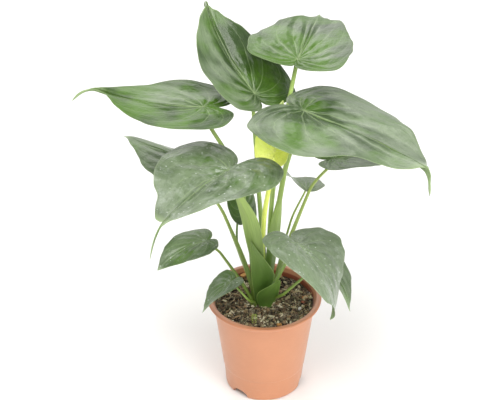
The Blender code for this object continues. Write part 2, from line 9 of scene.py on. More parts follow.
import bmesh
import bpy
import numpy as np
from bpy.props import FloatProperty, FloatVectorProperty, IntProperty, PointerProperty
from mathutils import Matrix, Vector


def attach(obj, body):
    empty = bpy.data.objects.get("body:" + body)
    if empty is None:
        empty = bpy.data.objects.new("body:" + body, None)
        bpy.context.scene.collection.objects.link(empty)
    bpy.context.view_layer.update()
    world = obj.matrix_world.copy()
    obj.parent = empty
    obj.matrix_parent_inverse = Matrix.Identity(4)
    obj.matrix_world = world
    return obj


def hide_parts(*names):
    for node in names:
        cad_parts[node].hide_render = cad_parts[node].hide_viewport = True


bl_info = {
    "name": "Potted alocasia",
    "version": (1, 0, 0),
    "blender": (4, 5, 0),
    "location": "3D View > Sidebar > Alocasia",
    "description": "Builds a potted Alocasia cucullata with its leaves, stalks, soil and pot",
    "category": "Add Mesh",
}

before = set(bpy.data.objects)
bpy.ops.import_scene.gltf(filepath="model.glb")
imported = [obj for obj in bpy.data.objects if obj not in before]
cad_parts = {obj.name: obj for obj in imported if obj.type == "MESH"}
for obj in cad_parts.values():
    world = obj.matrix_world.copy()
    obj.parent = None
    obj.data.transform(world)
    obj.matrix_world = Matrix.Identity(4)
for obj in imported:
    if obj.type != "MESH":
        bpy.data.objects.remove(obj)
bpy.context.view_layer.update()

MM = 0.001
# An edge shorter than this, in metres, has no length
NO_LENGTH = 1e-6

# Half outline of a blade, from the sinus round one lobe to the tip:
# along the midrib in blade lengths, and across it in half widths
OUTLINE = (
    (-0.10, 0.0), (-0.24, 0.045), (-0.37, 0.16), (-0.44, 0.36), (-0.38, 0.64), (-0.21, 0.88),
    (0.045, 1.0), (0.305, 0.93), (0.545, 0.70), (0.75, 0.41), (0.89, 0.17), (0.96, 0.06),
)
# How far behind the stalk the sinus and the lobes of that outline lie
SINUS = 0.10
LOBE_REACH = 0.44
# Share of a half outline's points that a drip tip gets, and how its droop grows along it
TAIL_SHARE = 3 / 16
TAIL_DROOP_POWER = 0.7
# How the midrib's fall and sway grow along it, up to WAY_END blade lengths, and the steps it is summed in
BEND_POWER = 1.5
WAY_END = 1.15
MIDRIB_STEPS = 481
# Shares of the way from the sinus to the tip between which the margin's ripples rise to full height
WAVE_START = 0.2
WAVE_FULL = 0.5
# Points of half an outline and rings of the grid, the coarse one for blades shorter than this
SHORT_BLADE = 95
COARSE_GRID = (76, 30)
FINE_GRID = (124, 46)
# How sharply the veins fan out from the stalk, and how gently they bend towards the tip
VEIN_TURN = 0.97
VEIN_POWER = 0.15
# Unevenness of the margin, as a share of its distance from the stalk
UNEVEN = 0.052
# Heights of a blade's relief and the width of its midrib, in millimetres on a blade of the usual length
USUAL_LENGTH = 160.0
SWELL = 2.1
PUCKER = 1.1
WRINKLE = 0.5
RIB_GROOVE = 0.4
RIB_HEIGHT = 1.1
RIB_WIDTH = 2.2

# Stalks: how the radius falls along one, how much a sheath of 1 mm thins it, and a sheath's thickness
# and the radius of its bend in millimetres
STALK_TAPER = 0.6
SHEATH_THINNING = 0.18
SHEATH_THICKNESS = 4.4
SHEATH_ROUND = 28.0
# Crown, in millimetres: where its middle stands, and how high its top is, from which the stalks grow
CROWN_MIDDLE = (-2.0, 6.0)
CROWN_TOP = 139.3
# How many of a leaf's sheaths are one with its stalk, where LOOSE_SHEATHS has another in place of the rest
ATTACHED_SHEATHS = {"front_left": 1, "low_right": 0}

# Pot, in millimetres: the foot narrows to its round edge, the step is where the side begins, and the
# underside has a level disc in the middle and a raised channel round it
FOOT_RADIUS = 58.0
FOOT_ROUND = 4.5
FOOT_TOP_RADIUS = 60.6
STEP_RADIUS = 61.5
STEP_HEIGHT = 37.0
LIP_RADIUS = 75.5
LIP_HEIGHT = 148.0
SIDE_SLOPE = (LIP_RADIUS - STEP_RADIUS) / (LIP_HEIGHT - STEP_HEIGHT)
RIM_WIDTH = 8.0
RIM_ROUND = 2.25
DISC_RADIUS = 38.0
CHANNEL_HEIGHT = 12.0
# Arches in the foot: their middles in degrees from +X, their height, half their width in radians, and the
# height below which they squeeze the outer face
NOTCH_ANGLES = (-130.0, -12.0, 108.0)
ARCH_HEIGHT = 10.0
ARCH_HALF_ANGLE = 14.0 / 57.0
ARCH_REACH = 16.0
# Drain holes: how many, their radius, the circle that they stand on, the heights that they are cut between
DRAIN_HOLES = 6
DRAIN_RADIUS = 4.0
DRAIN_CIRCLE = 47.0
DRAIN_CUT = (6.0, 20.0)
DRAIN_SIDES = 20

# Soil, in millimetres: its mean height, and its distance from the pot
SOIL_TOP = 143.0
SOIL_GAP = 0.3
# Litter: a brick and a lump of twenty faces, whose corners are then moved
BRICK_POINTS = np.array([
    (-1, -1, -1), (1, -1, -1), (1, 1, -1), (-1, 1, -1), (-1, -1, 1), (1, -1, 1), (1, 1, 1), (-1, 1, 1)])
BRICK_FACES = np.array([(0, 3, 2, 1), (4, 5, 6, 7), (0, 1, 5, 4), (1, 2, 6, 5), (2, 3, 7, 6), (3, 0, 4, 7)])
GOLD = (1 + math.sqrt(5)) / 2
LUMP_POINTS = np.array([
    (-1, GOLD, 0), (1, GOLD, 0), (-1, -GOLD, 0), (1, -GOLD, 0), (0, -1, GOLD), (0, 1, GOLD),
    (0, -1, -GOLD), (0, 1, -GOLD), (GOLD, 0, -1), (GOLD, 0, 1), (-GOLD, 0, -1), (-GOLD, 0, 1)]) / 1.9
LUMP_FACES = np.array([
    (0, 11, 5), (0, 5, 1), (0, 1, 7), (0, 7, 10), (0, 10, 11), (1, 5, 9), (5, 11, 4), (11, 10, 2), (10, 7, 6),
    (7, 1, 8), (3, 9, 4), (3, 4, 2), (3, 2, 6), (3, 6, 8), (3, 8, 9), (4, 9, 5), (2, 4, 11), (6, 2, 10),
    (8, 6, 7), (9, 8, 1)])
FIBRE_SECTIONS = 7
LEAFLET_PAIRS = 9

# Leaves with dust on them, and leaves round the outside, whose blades and stalks get lighter copies of the
# greens: painted light
DUSTY = ("front_left", "low_left", "small_low_left", "low_right")
OUTER = ("left_behind", "right_behind", "small_right", "low_left", "small_low_left", "low_right_behind")

# Painted sheen: grey-green painted into the blades' colour in place of the soft lights' reflection, on the
# left half, the right half, near the stalk and towards the tip: about 1 is a full coat, and below 0 only
# the strongest patches show any
PAINTED_SHEEN = {
    "top_left": (0.70, -0.30, 0.1, 0.4), "top_right": (0.22, 0.15, 0.25, 0.20),
    "left": (-0.35, 0.50, 0.45, 0.25), "left_behind": (0.70, 0.70, 0.4, 0.7),
    "front_left": (0.75, 0.85, 0.95, 0.65), "right": (0.68, 0.52, 0.15, 0.9),
    "right_behind": (0.65, 0.75, 0.4, 0.7), "small_right": (0.9, 0.9, 0.9, 0.9), "small_behind": (0, 0, 0, 0),
    "new": (0, 0, 0, 0), "low_left": (0.50, 0.62, 0.7, 0.45), "small_low_left": (0.50, 0.45, 0.75, 0.35),
    "low_right": (0.85, 1.0, 0.7, 1.0), "low_right_behind": (0.5, 0.5, 0.4, 0.6),
}

# Loose outer sheaths: (height above the crown, left edge, right edge) from the stalk's centre line
LOOSE_SHEATHS = {
    "front_left": (
        (0, -7, 8), (12, -7.5, 9), (23, -8.5, 12), (34, -9.5, 17), (46, -10.6, 21), (58, -10.3, 22.6),
        (70, -9.8, 20.2), (82, -9.2, 16.4), (94, -8.4, 12.2), (106, -7.2, 7.4), (118, -5.8, 2.4),
        (128, -4.6, -1.8), (134, -3.6, -3.2)),
    "low_right": (
        (0, -8, 5), (6, -11, 6.5), (14, -15, 8.5), (24, -17, 11.5), (34, -15.6, 12.4), (46, -11.5, 11.4),
        (56, -7.4, 9.6), (66, -3.2, 7.6), (75, 0.8, 5.4), (80, 2.8, 3.6)),
}

# The leaves, with what most of them share first. Lengths are in millimetres and angles in degrees.
# length and width: the blade, from the stalk to the tip and across its widest place
# lobe: how far the lobes reach behind the stalk, in blade lengths
# tail and tail_width: length and width of the thin drip tip; tail_droop: how far it turns down
# at: where the stalk meets the blade; heading: direction of the midrib from +X towards +Y
# pitch: midrib's rise at the stalk; roll: left half raised; bend: midrib's fall towards the tip
# lobe_bend: rise of the lobes; fold: rise of the left and right halves beside the midrib
# curl: how much further each half turns up to its margin; twist and sway: of the outer half
# wave and waves: height and number of the margin's ripples
# foot and via: the stalk's place on the crown and a point it passes; rise and reach: its end rates
# meet: how far the stalk leans to the midrib where it meets the blade
# facing: the direction that the stalk's sheaths face; sheaths: for each, how far it stands out
# on its left and right, and the heights above the crown where it starts, is widest and ends
COMMON = dict(tail=0, tail_width=0, tail_droop=0, meet=0, facing=-90, sheaths=())
LEAVES = tuple({**COMMON, **leaf} for leaf in (
    dict(
        name="top_left",
        length=163, width=144, lobe=0.2, tail=14, tail_width=3, tail_droop=140,
        at=(-15, 55, 468), heading=129, pitch=27, roll=-11,
        bend=-9, lobe_bend=3, fold=(34, 4), curl=(-3, -40),
        twist=-9, sway=-21, wave=3.2, waves=7,
        foot=(2.2, 20.5), via=(-11, 71, 340), rise=0.8, reach=0.7,
        foot_radius=4.4, top_radius=2.7,
    ),
    dict(
        name="top_right",
        length=165, width=148, lobe=0.18,
        at=(45, 62, 519), heading=74, pitch=3, roll=9,
        bend=18, lobe_bend=28, fold=(6, 11), curl=(-8, 8),
        twist=-5, sway=5, wave=2.6, waves=6,
        foot=(6, 11.8), via=(12, 22, 327), rise=0.8, reach=0.5,
        foot_radius=4.2, top_radius=2.9,
    ),
    dict(
        name="left",
        length=156, width=148, lobe=0.27, tail=46, tail_width=6.4, tail_droop=85,
        at=(-86, 10, 472), heading=181, pitch=3, roll=-4,
        bend=-11, lobe_bend=1, fold=(15, -7), curl=(-13, 2),
        twist=-9, sway=-17, wave=3.2, waves=6,
        foot=(-15.9, 12.7), via=(-36, 32, 337), rise=0.8, reach=0.6,
        foot_radius=4.0, top_radius=2.7,
    ),
    dict(
        name="left_behind",
        length=123, width=115, lobe=0.33,
        at=(-100, 40, 355), heading=151, pitch=11, roll=4,
        bend=9, lobe_bend=3, fold=(3, -4), curl=(-25, -25),
        twist=9, sway=-1, wave=2.2, waves=5,
        foot=(-13.6, 1.1), via=(-58, 41, 269), rise=0.7, reach=0.5,
        foot_radius=3.6, top_radius=2.0,
        facing=-120, sheaths=((2, 2, 15, 70, 110),),
    ),
    dict(
        name="front_left",
        length=177, width=167, lobe=0.24, tail=52, tail_width=3, tail_droop=50,
        at=(-50, -60, 413), heading=237, pitch=6, roll=4,
        bend=5, lobe_bend=11, fold=(24, 22), curl=(-46, -18),
        twist=-4, sway=10, wave=3, waves=5,
        foot=(-5.7, -2.4), via=(-20, -26, 298), rise=0.8, reach=0.5,
        foot_radius=4.2, top_radius=2.8,
        facing=-100, sheaths=((9.5, 9.5, 40, 145, 235), (7, 19, 12, 55, 116)),
    ),
    dict(
        name="right",
        length=224, width=213, lobe=0.2, tail=33, tail_width=3, tail_droop=110,
        at=(53, -12, 479), heading=-35, pitch=-4, roll=-3,
        bend=-9, lobe_bend=-29, fold=(-5, 7), curl=(-2, -14),
        twist=0, sway=-26, wave=4.5, waves=8,
        foot=(5.1, 1.8), via=(27, 7, 362), rise=0.8, reach=0.5,
        foot_radius=4.6, top_radius=3.4,
        facing=-70, sheaths=((5, 5, 30, 120, 180),),
    ),
    dict(
        name="right_behind",
        length=102, width=94, lobe=0.28,
        at=(99, 24, 379), heading=15, pitch=0, roll=-2,
        bend=27, lobe_bend=3, fold=(9, 13), curl=(-15, -8),
        twist=1, sway=-1, wave=1.8, waves=5,
        foot=(12.9, 6.6), via=(65, 43, 312), rise=0.7, reach=0.4,
        foot_radius=3.6, top_radius=2.0,
        facing=-50, sheaths=((2.5, 2.5, 10, 80, 140),),
    ),
    dict(
        name="small_right",
        length=63, width=59, lobe=0.24,
        at=(61, 64, 302), heading=113, pitch=-6, roll=15,
        bend=14, lobe_bend=3, fold=(20, 20), curl=(22, 2),
        twist=11, sway=1, wave=1.2, waves=4,
        foot=(13.3, 13.5), via=(39, 53, 252), rise=0.8, reach=0.4,
        foot_radius=2.4, top_radius=1.4,
    ),
    dict(
        name="small_behind",
        length=69, width=64, lobe=0.35,
        at=(-31, 60, 270), heading=104, pitch=52, roll=38,
        bend=22, lobe_bend=4, fold=(7, 7), curl=(-20, -18),
        twist=2, sway=-1, wave=0.5, waves=3,
        foot=(-12.5, 19.1), via=(-40, 57, 205), rise=0.8, reach=0.5,
        foot_radius=2.4, top_radius=1.5,
    ),
    dict(
        name="new",
        length=71, width=64, lobe=0.3,
        at=(14, -15, 417), heading=70, pitch=62, roll=0,
        bend=-5, lobe_bend=0, fold=(32, 32), curl=(10, 10),
        twist=0, sway=0, wave=1, waves=3,
        foot=(-2.4, 7.8), via=(-1, 0, 293), rise=0.8, reach=0.5,
        meet=45, foot_radius=4.2, top_radius=3.2,
    ),
    dict(
        name="low_left",
        length=80, width=76, lobe=0.2,
        at=(-86, -45, 284), heading=200, pitch=-10, roll=5,
        bend=27, lobe_bend=5, fold=(13, 14), curl=(-16, -27),
        twist=-19, sway=14, wave=1.4, waves=4,
        foot=(-17.2, -5), via=(-63, 1, 229), rise=0.6, reach=0.5,
        foot_radius=3.0, top_radius=1.6,
    ),
    dict(
        name="small_low_left",
        length=63, width=58, lobe=0.2,
        at=(-48, -40, 210), heading=216, pitch=-21, roll=9,
        bend=28, lobe_bend=5, fold=(18, 7), curl=(-10, 0),
        twist=16, sway=-3, wave=0.8, waves=4,
        foot=(-13.5, -9.5), via=(-25, -49, 185), rise=0.9, reach=0.5,
        foot_radius=2.4, top_radius=1.4,
    ),
    dict(
        name="low_right",
        length=126, width=154, lobe=0.21,
        at=(46, -70, 296), heading=-47, pitch=-15, roll=-25,
        bend=79, lobe_bend=6, fold=(2, 20), curl=(17, -46),
        twist=-6, sway=29, wave=2.6, waves=5,
        foot=(3.2, -9.4), via=(21, -44, 225), rise=0.8, reach=0.5,
        foot_radius=3.4, top_radius=2.4,
        facing=-88, sheaths=((11.5, 0, -8, 20, 66), (0, 5.2, -15, 14, 62)),
    ),
    dict(
        name="low_right_behind",
        length=85, width=80, lobe=0.33,
        at=(84, -30, 240), heading=-47, pitch=-27, roll=-23,
        bend=35, lobe_bend=3, fold=(12, 17), curl=(-10, -14),
        twist=-14, sway=2, wave=1.4, waves=4,
        foot=(13, -0.9), via=(31, -38, 189), rise=0.9, reach=0.5,
        foot_radius=3.0, top_radius=1.7,
    ),
))


class AlocasiaPot(bpy.types.PropertyGroup):
    """Sizes and look of the pot."""

    height: FloatProperty(
        name="Height", description="Foot to top of the rim", default=0.155, min=0.05, unit="LENGTH")
    rim_radius: FloatProperty(
        name="Rim radius", description="Outer radius of the rolled rim", default=0.085, min=0.03,
        unit="LENGTH")
    wall: FloatProperty(
        name="Wall", description="Thickness of the plastic", default=0.002, min=0.0005, unit="LENGTH")
    sides: IntProperty(name="Sides", description="Steps round the pot", default=224, min=24)
    colour: FloatVectorProperty(
        name="Plastic", description="Colour of the plastic", subtype="COLOR", size=3, min=0, max=1,
        default=(0.560, 0.240, 0.120))
    roughness: FloatProperty(
        name="Roughness", description="Roughness of the plastic", default=0.42, min=0, max=1)


class AlocasiaSoil(bpy.types.PropertyGroup):
    """Sizes and look of the soil."""

    relief: FloatProperty(
        name="Relief", description="Height of the crumbs", default=0.0046, min=0, unit="LENGTH")
    chips: IntProperty(name="Bark chips", description="Number of loose bark chips", default=1300, min=0)
    fibres: IntProperty(name="Fibres", description="Number of loose fibres", default=420, min=0)
    grains: IntProperty(name="Perlite", description="Number of white grains", default=150, min=0)
    # The dark peat colour also stands for painted shade in the hollows
    dark: FloatVectorProperty(
        name="Dark peat", description="Colour of the hollows", subtype="COLOR", size=3, min=0, max=1,
        default=(0.026, 0.020, 0.015))
    light: FloatVectorProperty(
        name="Light peat", description="Colour of the crumbs", subtype="COLOR", size=3, min=0, max=1,
        default=(0.66, 0.56, 0.41))


class AlocasiaLeaf(bpy.types.PropertyGroup):
    """Look of the blades and stalks."""

    thickness: FloatProperty(
        name="Blade thickness", description="Thickness of a blade", default=0.0008, min=0.0003, unit="LENGTH")
    veins: FloatProperty(name="Veins", description="Main side veins in each half", default=7.0, min=1)
    relief: FloatProperty(
        name="Quilting", description="Rise of the blade between its veins", default=0.0021, min=0,
        unit="LENGTH")
    dark: FloatVectorProperty(
        name="Dark green", description="Darker patches of a blade", subtype="COLOR", size=3, min=0, max=1,
        default=(0.026, 0.061, 0.008))
    light: FloatVectorProperty(
        name="Light green", description="Lighter patches of a blade", subtype="COLOR", size=3, min=0, max=1,
        default=(0.069, 0.155, 0.013))
    vein: FloatVectorProperty(
        name="Vein", description="Colour of the veins", subtype="COLOR", size=3, min=0, max=1,
        default=(0.30, 0.40, 0.19))
    # Colour of the painted sheen: grey-green painted on the blades in place of the soft lights' reflection
    painted_sheen: FloatVectorProperty(
        name="Bloom", description="Grey wax on a blade", subtype="COLOR", size=3, min=0, max=1,
        default=(0.200, 0.256, 0.160))
    stalk: FloatVectorProperty(
        name="Stalk", description="Colour of a stalk's upper part", subtype="COLOR", size=3, min=0, max=1,
        default=(0.32, 0.45, 0.11))
    base: FloatVectorProperty(
        name="Stalk base", description="Colour of a stalk's lowest part", subtype="COLOR", size=3, min=0,
        max=1, default=(0.095, 0.20, 0.030))


class AlocasiaStage(bpy.types.PropertyGroup):
    """Camera, floor and lights."""

    focal: FloatProperty(
        name="Focal length", description="Of the camera, in millimetres", default=120.0, min=10)
    tilt: FloatProperty(
        name="Tilt", description="How far the camera looks down", default=math.radians(33.2), subtype="ANGLE")
    key: FloatProperty(
        name="Key light", description="Power of the large soft light above", default=70.0, min=0)
    fill: FloatProperty(name="Fill light", description="Power of the front light", default=26.0, min=0)
    back: FloatProperty(
        name="Back light", description="Power of the soft light behind, which the blades reflect",
        default=11.0, min=0)
    sky: FloatProperty(name="Sky", description="Strength of the even light all round", default=0.62, min=0)


def grid_quads(rows, columns, wrap_columns=True, start=0):
    """Quads of a rows by columns grid of points, numbered row by row from start.

    Each quad joins a point, the next in its row, the one above that and the one above the point.
    """
    across = np.arange(columns if wrap_columns else columns - 1)
    r, c = np.meshgrid(np.arange(rows - 1), across, indexing="ij")
    after = (c + 1) % columns
    low, high = r * columns, (r + 1) * columns
    return np.stack([low + c, low + after, high + after, high + c], -1).reshape(-1, 4) + start


def fan(centre, ring, turned=False):
    """Triangles from one point to a closed ring of points, the other way round if turned."""
    after = np.roll(ring, -1)
    middle = np.full(len(ring), centre)
    return np.stack([middle, after, ring] if turned else [middle, ring, after], -1)


def capped_grid(rows, columns, start=0, turned=False):
    """Faces of a closed skin: rows of points joined as rings, with a fan to a centre at each end.

    The grid's points come first, then the centre of the first row and that of the last. turned makes
    all the faces look the other way.
    """
    count = rows * columns
    ring = np.arange(columns)
    quads = grid_quads(rows, columns)
    caps = [fan(count, ring, turned=not turned), fan(count + 1, count - columns + ring, turned=turned)]
    return [(quads[:, ::-1] if turned else quads) + start, np.concatenate(caps) + start]


def add_piece(name, points, faces, material, nodes=(), values=None):
    """Make a closed piece from arrays of points in metres and of faces, which ride on the plant's body.

    values holds one array for each named value that the material reads at the points.
    """
    mesh = bpy.data.meshes.new(name)
    faces = [np.asarray(f, dtype=np.int32) for f in faces if len(f)]
    mesh.vertices.add(len(points))
    mesh.vertices.foreach_set("co", np.asarray(points, dtype=np.float32).ravel())
    corners = np.concatenate([f.ravel() for f in faces])
    sizes = np.concatenate([np.full(len(f), f.shape[1]) for f in faces])
    mesh.loops.add(len(corners))
    mesh.loops.foreach_set("vertex_index", corners)
    mesh.polygons.add(len(sizes))
    mesh.polygons.foreach_set("loop_start", np.concatenate([[0], np.cumsum(sizes)[:-1]]))
    mesh.polygons.foreach_set("loop_total", sizes)
    mesh.update(calc_edges=True)
    mesh.validate()
    for key, array in (values or {}).items():
        layer = mesh.attributes.new(key, "FLOAT", "POINT")
        layer.data.foreach_set("value", np.asarray(array, dtype=np.float32))
    mesh.shade_smooth()
    mesh.materials.append(material)
    piece = bpy.data.objects.new(name, mesh)
    bpy.context.scene.collection.objects.link(piece)
    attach(piece, "root")
    if nodes:
        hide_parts(*nodes)
    return piece


def lattice_noise(x, y, seed):
    """Smooth noise from -1 to 1: random numbers on a unit lattice, blended by a smooth step between them."""
    table = np.random.default_rng(seed).uniform(-1.0, 1.0, (256, 256))
    x0 = np.floor(x).astype(int)
    y0 = np.floor(y).astype(int)
    fx = x - x0
    fy = y - y0
    fx = fx * fx * (3 - 2 * fx)
    fy = fy * fy * (3 - 2 * fy)
    a = table[x0 % 256, y0 % 256]
    b = table[(x0 + 1) % 256, y0 % 256]
    c = table[x0 % 256, (y0 + 1) % 256]
    d = table[(x0 + 1) % 256, (y0 + 1) % 256]
    return (a * (1 - fx) + b * fx) * (1 - fy) + (c * (1 - fx) + d * fx) * fy


class Recipe:
    """Short ways to add the nodes of one material."""

    def __init__(self, name):
        self.material = bpy.data.materials.new(name)
        self.material.use_nodes = True
        self.tree = self.material.node_tree
        self.shader = self.tree.nodes["Principled BSDF"]

    def fill(self, socket, value):
        """Link a socket to another node's, or set its value. A colour may leave out its last number."""
        if isinstance(value, bpy.types.NodeSocket):
            self.tree.links.new(value, socket)
        elif socket.type == "RGBA":
            socket.default_value = (*value[:3], 1.0)
        else:
            socket.default_value = value

    def node(self, kind, inputs=None, **own_settings):
        """Add a node, set its own settings, and link or set its inputs."""
        made = self.tree.nodes.new(kind)
        for key, value in own_settings.items():
            setattr(made, key, value)
        for key, value in (inputs or {}).items():
            self.fill(made.inputs[key], value)
        return made

    def value(self, name):
        """A value kept at the points of the piece."""
        return self.node("ShaderNodeAttribute", attribute_name=name).outputs["Fac"]

    def math(self, operation, a, b=0.0, c=0.0):
        """One step of arithmetic."""
        return self.node("ShaderNodeMath", {0: a, 1: b, 2: c}, operation=operation).outputs[0]

    def times(self, a, b):
        """Product of two values."""
        return self.math("MULTIPLY", a, b)

    def step(self, value, low, high, out_low=0.0, out_high=1.0):
        """Smooth step of a value between two limits."""
        made = self.node(
            "ShaderNodeMapRange",
            {"Value": value, "From Min": low, "From Max": high, "To Min": out_low, "To Max": out_high},
            interpolation_type="SMOOTHSTEP")
        return made.outputs["Result"]

    def mix(self, factor, a, b, blend="MIX"):
        """Mix of two colours."""
        made = self.node("ShaderNodeMix", {"Factor": factor, 6: a, 7: b}, data_type="RGBA", blend_type=blend)
        return made.outputs[2]

    def place(self):
        """Object coordinates."""
        return self.node("ShaderNodeTexCoord").outputs["Object"]

    def vector(self, x, y, z=0.0):
        """A vector from three values."""
        return self.node("ShaderNodeCombineXYZ", {"X": x, "Y": y, "Z": z}).outputs[0]

    def scaled(self, where, scale):
        """A place with each of its coordinates multiplied, which squeezes a pattern along them."""
        return self.node("ShaderNodeMapping", {"Vector": where, "Scale": scale}).outputs[0]

    def noise(self, where, scale, detail=2.0, roughness=0.5):
        """Noise at a scale in features a metre."""
        inputs = {"Vector": where, "Scale": scale, "Detail": detail, "Roughness": roughness}
        return self.node("ShaderNodeTexNoise", inputs).outputs["Fac"]

    def cells(self, where, scale):
        """Distance from the nearest of scattered points, and three random values that each point has."""
        made = self.node("ShaderNodeTexVoronoi", {"Vector": where, "Scale": scale})
        own = self.node("ShaderNodeSeparateColor", {"Color": made.outputs["Color"]})
        return made.outputs["Distance"], own.outputs

    def bump(self, height, distance, strength=1.0, under=None):
        """Bump from a height, whose full range stands for a distance in metres."""
        inputs = {"Height": height, "Distance": distance, "Strength": strength}
        if under is not None:
            inputs["Normal"] = under
        return self.node("ShaderNodeBump", inputs).outputs["Normal"]

    def finish(self, colour, roughness, normal=None, **sockets):
        """Link or set the shader's sockets and return the material."""
        self.fill(self.shader.inputs["Base Color"], colour)
        self.fill(self.shader.inputs["Roughness"], roughness)
        if normal is not None:
            self.fill(self.shader.inputs["Normal"], normal)
        for key, value in sockets.items():
            self.fill(self.shader.inputs[key.replace("_", " ")], value)
        return self.material


def dusted(r, colour, amount):
    """A colour under grey dust.

    The dust is the greatest of three: specks at some of the scattered points, a thin film in clouds, and
    a thicker broken film near the stalk.
    """
    where, rho = r.place(), r.value("rho")
    distance, own = r.cells(where, 150.0)
    specks = r.times(r.step(distance, 0.10, 0.22, 1.0, 0.0), r.step(own[0], 0.48, 0.75))
    film = r.times(r.step(r.noise(where, 55.0, 5.0, 0.7), 0.46, 0.72), 0.32)
    broken = r.step(r.noise(where, 150.0, 4.0, 0.7), 0.50, 0.64)
    near = r.times(r.times(r.step(rho, 0.08, 0.42, 1.0, 0.0), broken), 0.75)
    dust = r.math("MAXIMUM", r.math("MAXIMUM", specks, film), near)
    return r.mix(r.times(dust, amount), colour, (0.55, 0.60, 0.55))


def leaf_material(name, dark, light, vein, dust=0.0, gloss=0.34, end=None, shine=1.0):
    """Satin blade: mottled green under a painted sheen, with faint paler curved veins, midrib, margin and
    tip.

    A vein is where psi times the number of veins is whole, and span turns the distance from it into
    millimetres. The painted sheen, a grey-green painted in place of the soft lights' reflection, is a smooth
    step of a sum: streaks along the veins, blotches, a cosine that is highest on a vein, and the sheen value
    that each point holds. A fine net that follows the veins darkens the green, and its bumps and some wider
    ones wrinkle the face. The lower face is paler and duller.

    dust is how much of it lies on the blade, end is the darker colour of a young leaf's tip, gloss is the
    roughness, and shine scales how much the skin reflects.
    """
    leaf = bpy.context.scene.alocasia_leaf
    r = Recipe(name)
    where = r.place()
    psi, span, rho = r.value("psi"), r.value("span"), r.value("rho")
    across, under, tip = r.value("across"), r.value("under"), r.value("tip")
    wander = r.math("MULTIPLY_ADD", r.noise(where, 45.0, 2.0), 0.05, -0.025)
    phase = r.times(r.math("ADD", psi, wander), leaf.veins)

    def vein_line(density, width):
        turn = r.times(phase, density)
        apart = r.math("ABSOLUTE", r.math("SUBTRACT", r.math("FRACT", r.math("ADD", turn, 0.5)), 0.5))
        mm = r.times(apart, r.math("DIVIDE", span, leaf.veins * density))
        return r.step(mm, 0.0, width, 1.0, 0.0)

    # Lines, which fade and narrow towards the margin
    fade = r.math("MULTIPLY_ADD", rho, -0.8, 1.0)
    main = r.times(vein_line(1.0, r.math("MULTIPLY_ADD", rho, -0.6, 1.4)), fade)
    fine = r.times(vein_line(4.0, 0.6), r.step(rho, 0.55, 0.85, 1.0, 0.0))
    rib = r.times(r.step(across, 0.15, r.math("MULTIPLY_ADD", rho, -1.3, 2.1), 1.0, 0.0), fade)

    # Green, painted sheen and net
    colour = r.mix(r.step(r.noise(where, 15.0, 3.0, 0.5), 0.38, 0.60), dark, light)
    grown = r.node("ShaderNodeVectorMath", {0: where, "Scale": 9.0}, operation="SCALE").outputs[0]
    veinwise = r.vector(r.times(psi, 15.0), r.times(rho, 2.2))
    veinwise = r.node("ShaderNodeVectorMath", {0: veinwise, 1: grown}, operation="ADD").outputs[0]
    streaks = r.math("SUBTRACT", r.noise(veinwise, 1.0, 4.0), 0.5)
    streaks = r.times(streaks, r.step(rho, 0.50, 0.90, 1.0, 0.1))
    on_veins = r.math("COSINE", r.times(phase, 2 * math.pi))
    on_veins = r.times(on_veins, r.step(rho, 0.5, 0.95, 0.20, 0.03))
    blotches = r.math("MULTIPLY_ADD", r.noise(where, 19.0, 2.0, 0.5), 1.6, -0.8)
    sheen_level = r.math("MULTIPLY_ADD", streaks, 1.7, blotches)
    sheen_level = r.math("ADD", r.math("ADD", sheen_level, on_veins), r.value("painted_sheen"))
    # Painted sheen: grey-green mixed into the colour in place of the soft lights' reflection
    colour = r.mix(r.step(sheen_level, 0.20, 0.95, 0.0, 0.80), colour, tuple(leaf.painted_sheen))
    net = r.noise(r.vector(r.times(psi, 34.0), r.times(rho, 15.0)), 1.0, 3.0, 0.6)
    colour = r.mix(r.step(net, 0.50, 0.72, 0.0, 0.42), colour, dark)

    # Veins, tip, margin, lower face and dust
    colour = r.mix(r.times(fine, 0.05), colour, vein)
    colour = r.mix(r.times(main, 0.55), colour, vein)
    colour = r.mix(r.times(rib, 0.60), colour, vein)
    ends = r.step(tip, 0.0, 0.3) if end else tip
    colour = r.mix(r.times(ends, 0.85), colour, end or tuple(1.25 * c for c in vein))
    colour = r.mix(r.times(r.step(rho, 0.982, 1.0), 0.5), colour, vein)
    colour = r.mix(r.times(under, 0.7), colour, tuple(0.6 * a + 0.4 * b for a, b in zip(light, vein)))
    if dust:
        colour = dusted(r, colour, dust)

    rough = r.math("MULTIPLY_ADD", r.noise(where, 60.0, 3.0), 0.14, gloss - 0.07)
    rough = r.math("ADD", rough, r.times(under, 0.15))
    wrinkle = r.bump(r.noise(where, 95.0, 3.0, 0.6), 0.0026, 0.55, r.bump(net, 0.0022, 0.45))
    grain = r.math("MULTIPLY_ADD", fine, -0.5, r.noise(where, 1400.0, 2.0))
    return r.finish(
        colour, rough, r.bump(grain, 0.00022, 0.3, wrinkle), Specular_IOR_Level=0.40 * shine,
        Sheen_Weight=0.03, Sheen_Roughness=0.4, Coat_Weight=0.34 * shine, Coat_Roughness=0.09)


def stalk_material(name, top, base, streak=0.30):
    """Smooth stalk: pale at the top, deeper green at the foot, streaked lengthwise, with pale thin edges.

    along is the height above the crown in millimetres, over which base turns into top by a smooth step.
    """
    r = Recipe(name)
    along, round_it = r.value("along"), r.value("round")
    ring = [r.times(r.math(wave, round_it), 9.0) for wave in ("COSINE", "SINE")]
    lines = r.noise(r.vector(*ring, r.times(along, 0.03)), 1.0, 3.0)
    colour = r.mix(r.step(along, 5.0, 215.0), base, top)
    colour = r.mix(r.times(r.step(lines, 0.35, 0.75), streak), colour, tuple(0.62 * c for c in base))
    colour = r.mix(r.times(r.value("thin"), 0.6), colour, tuple(min(1.0, 1.5 * c + 0.06) for c in top))
    normal = r.bump(lines, 0.0004, 0.4)
    return r.finish(colour, 0.40, normal, Specular_IOR_Level=0.5, Coat_Weight=0.08, Coat_Roughness=0.3)


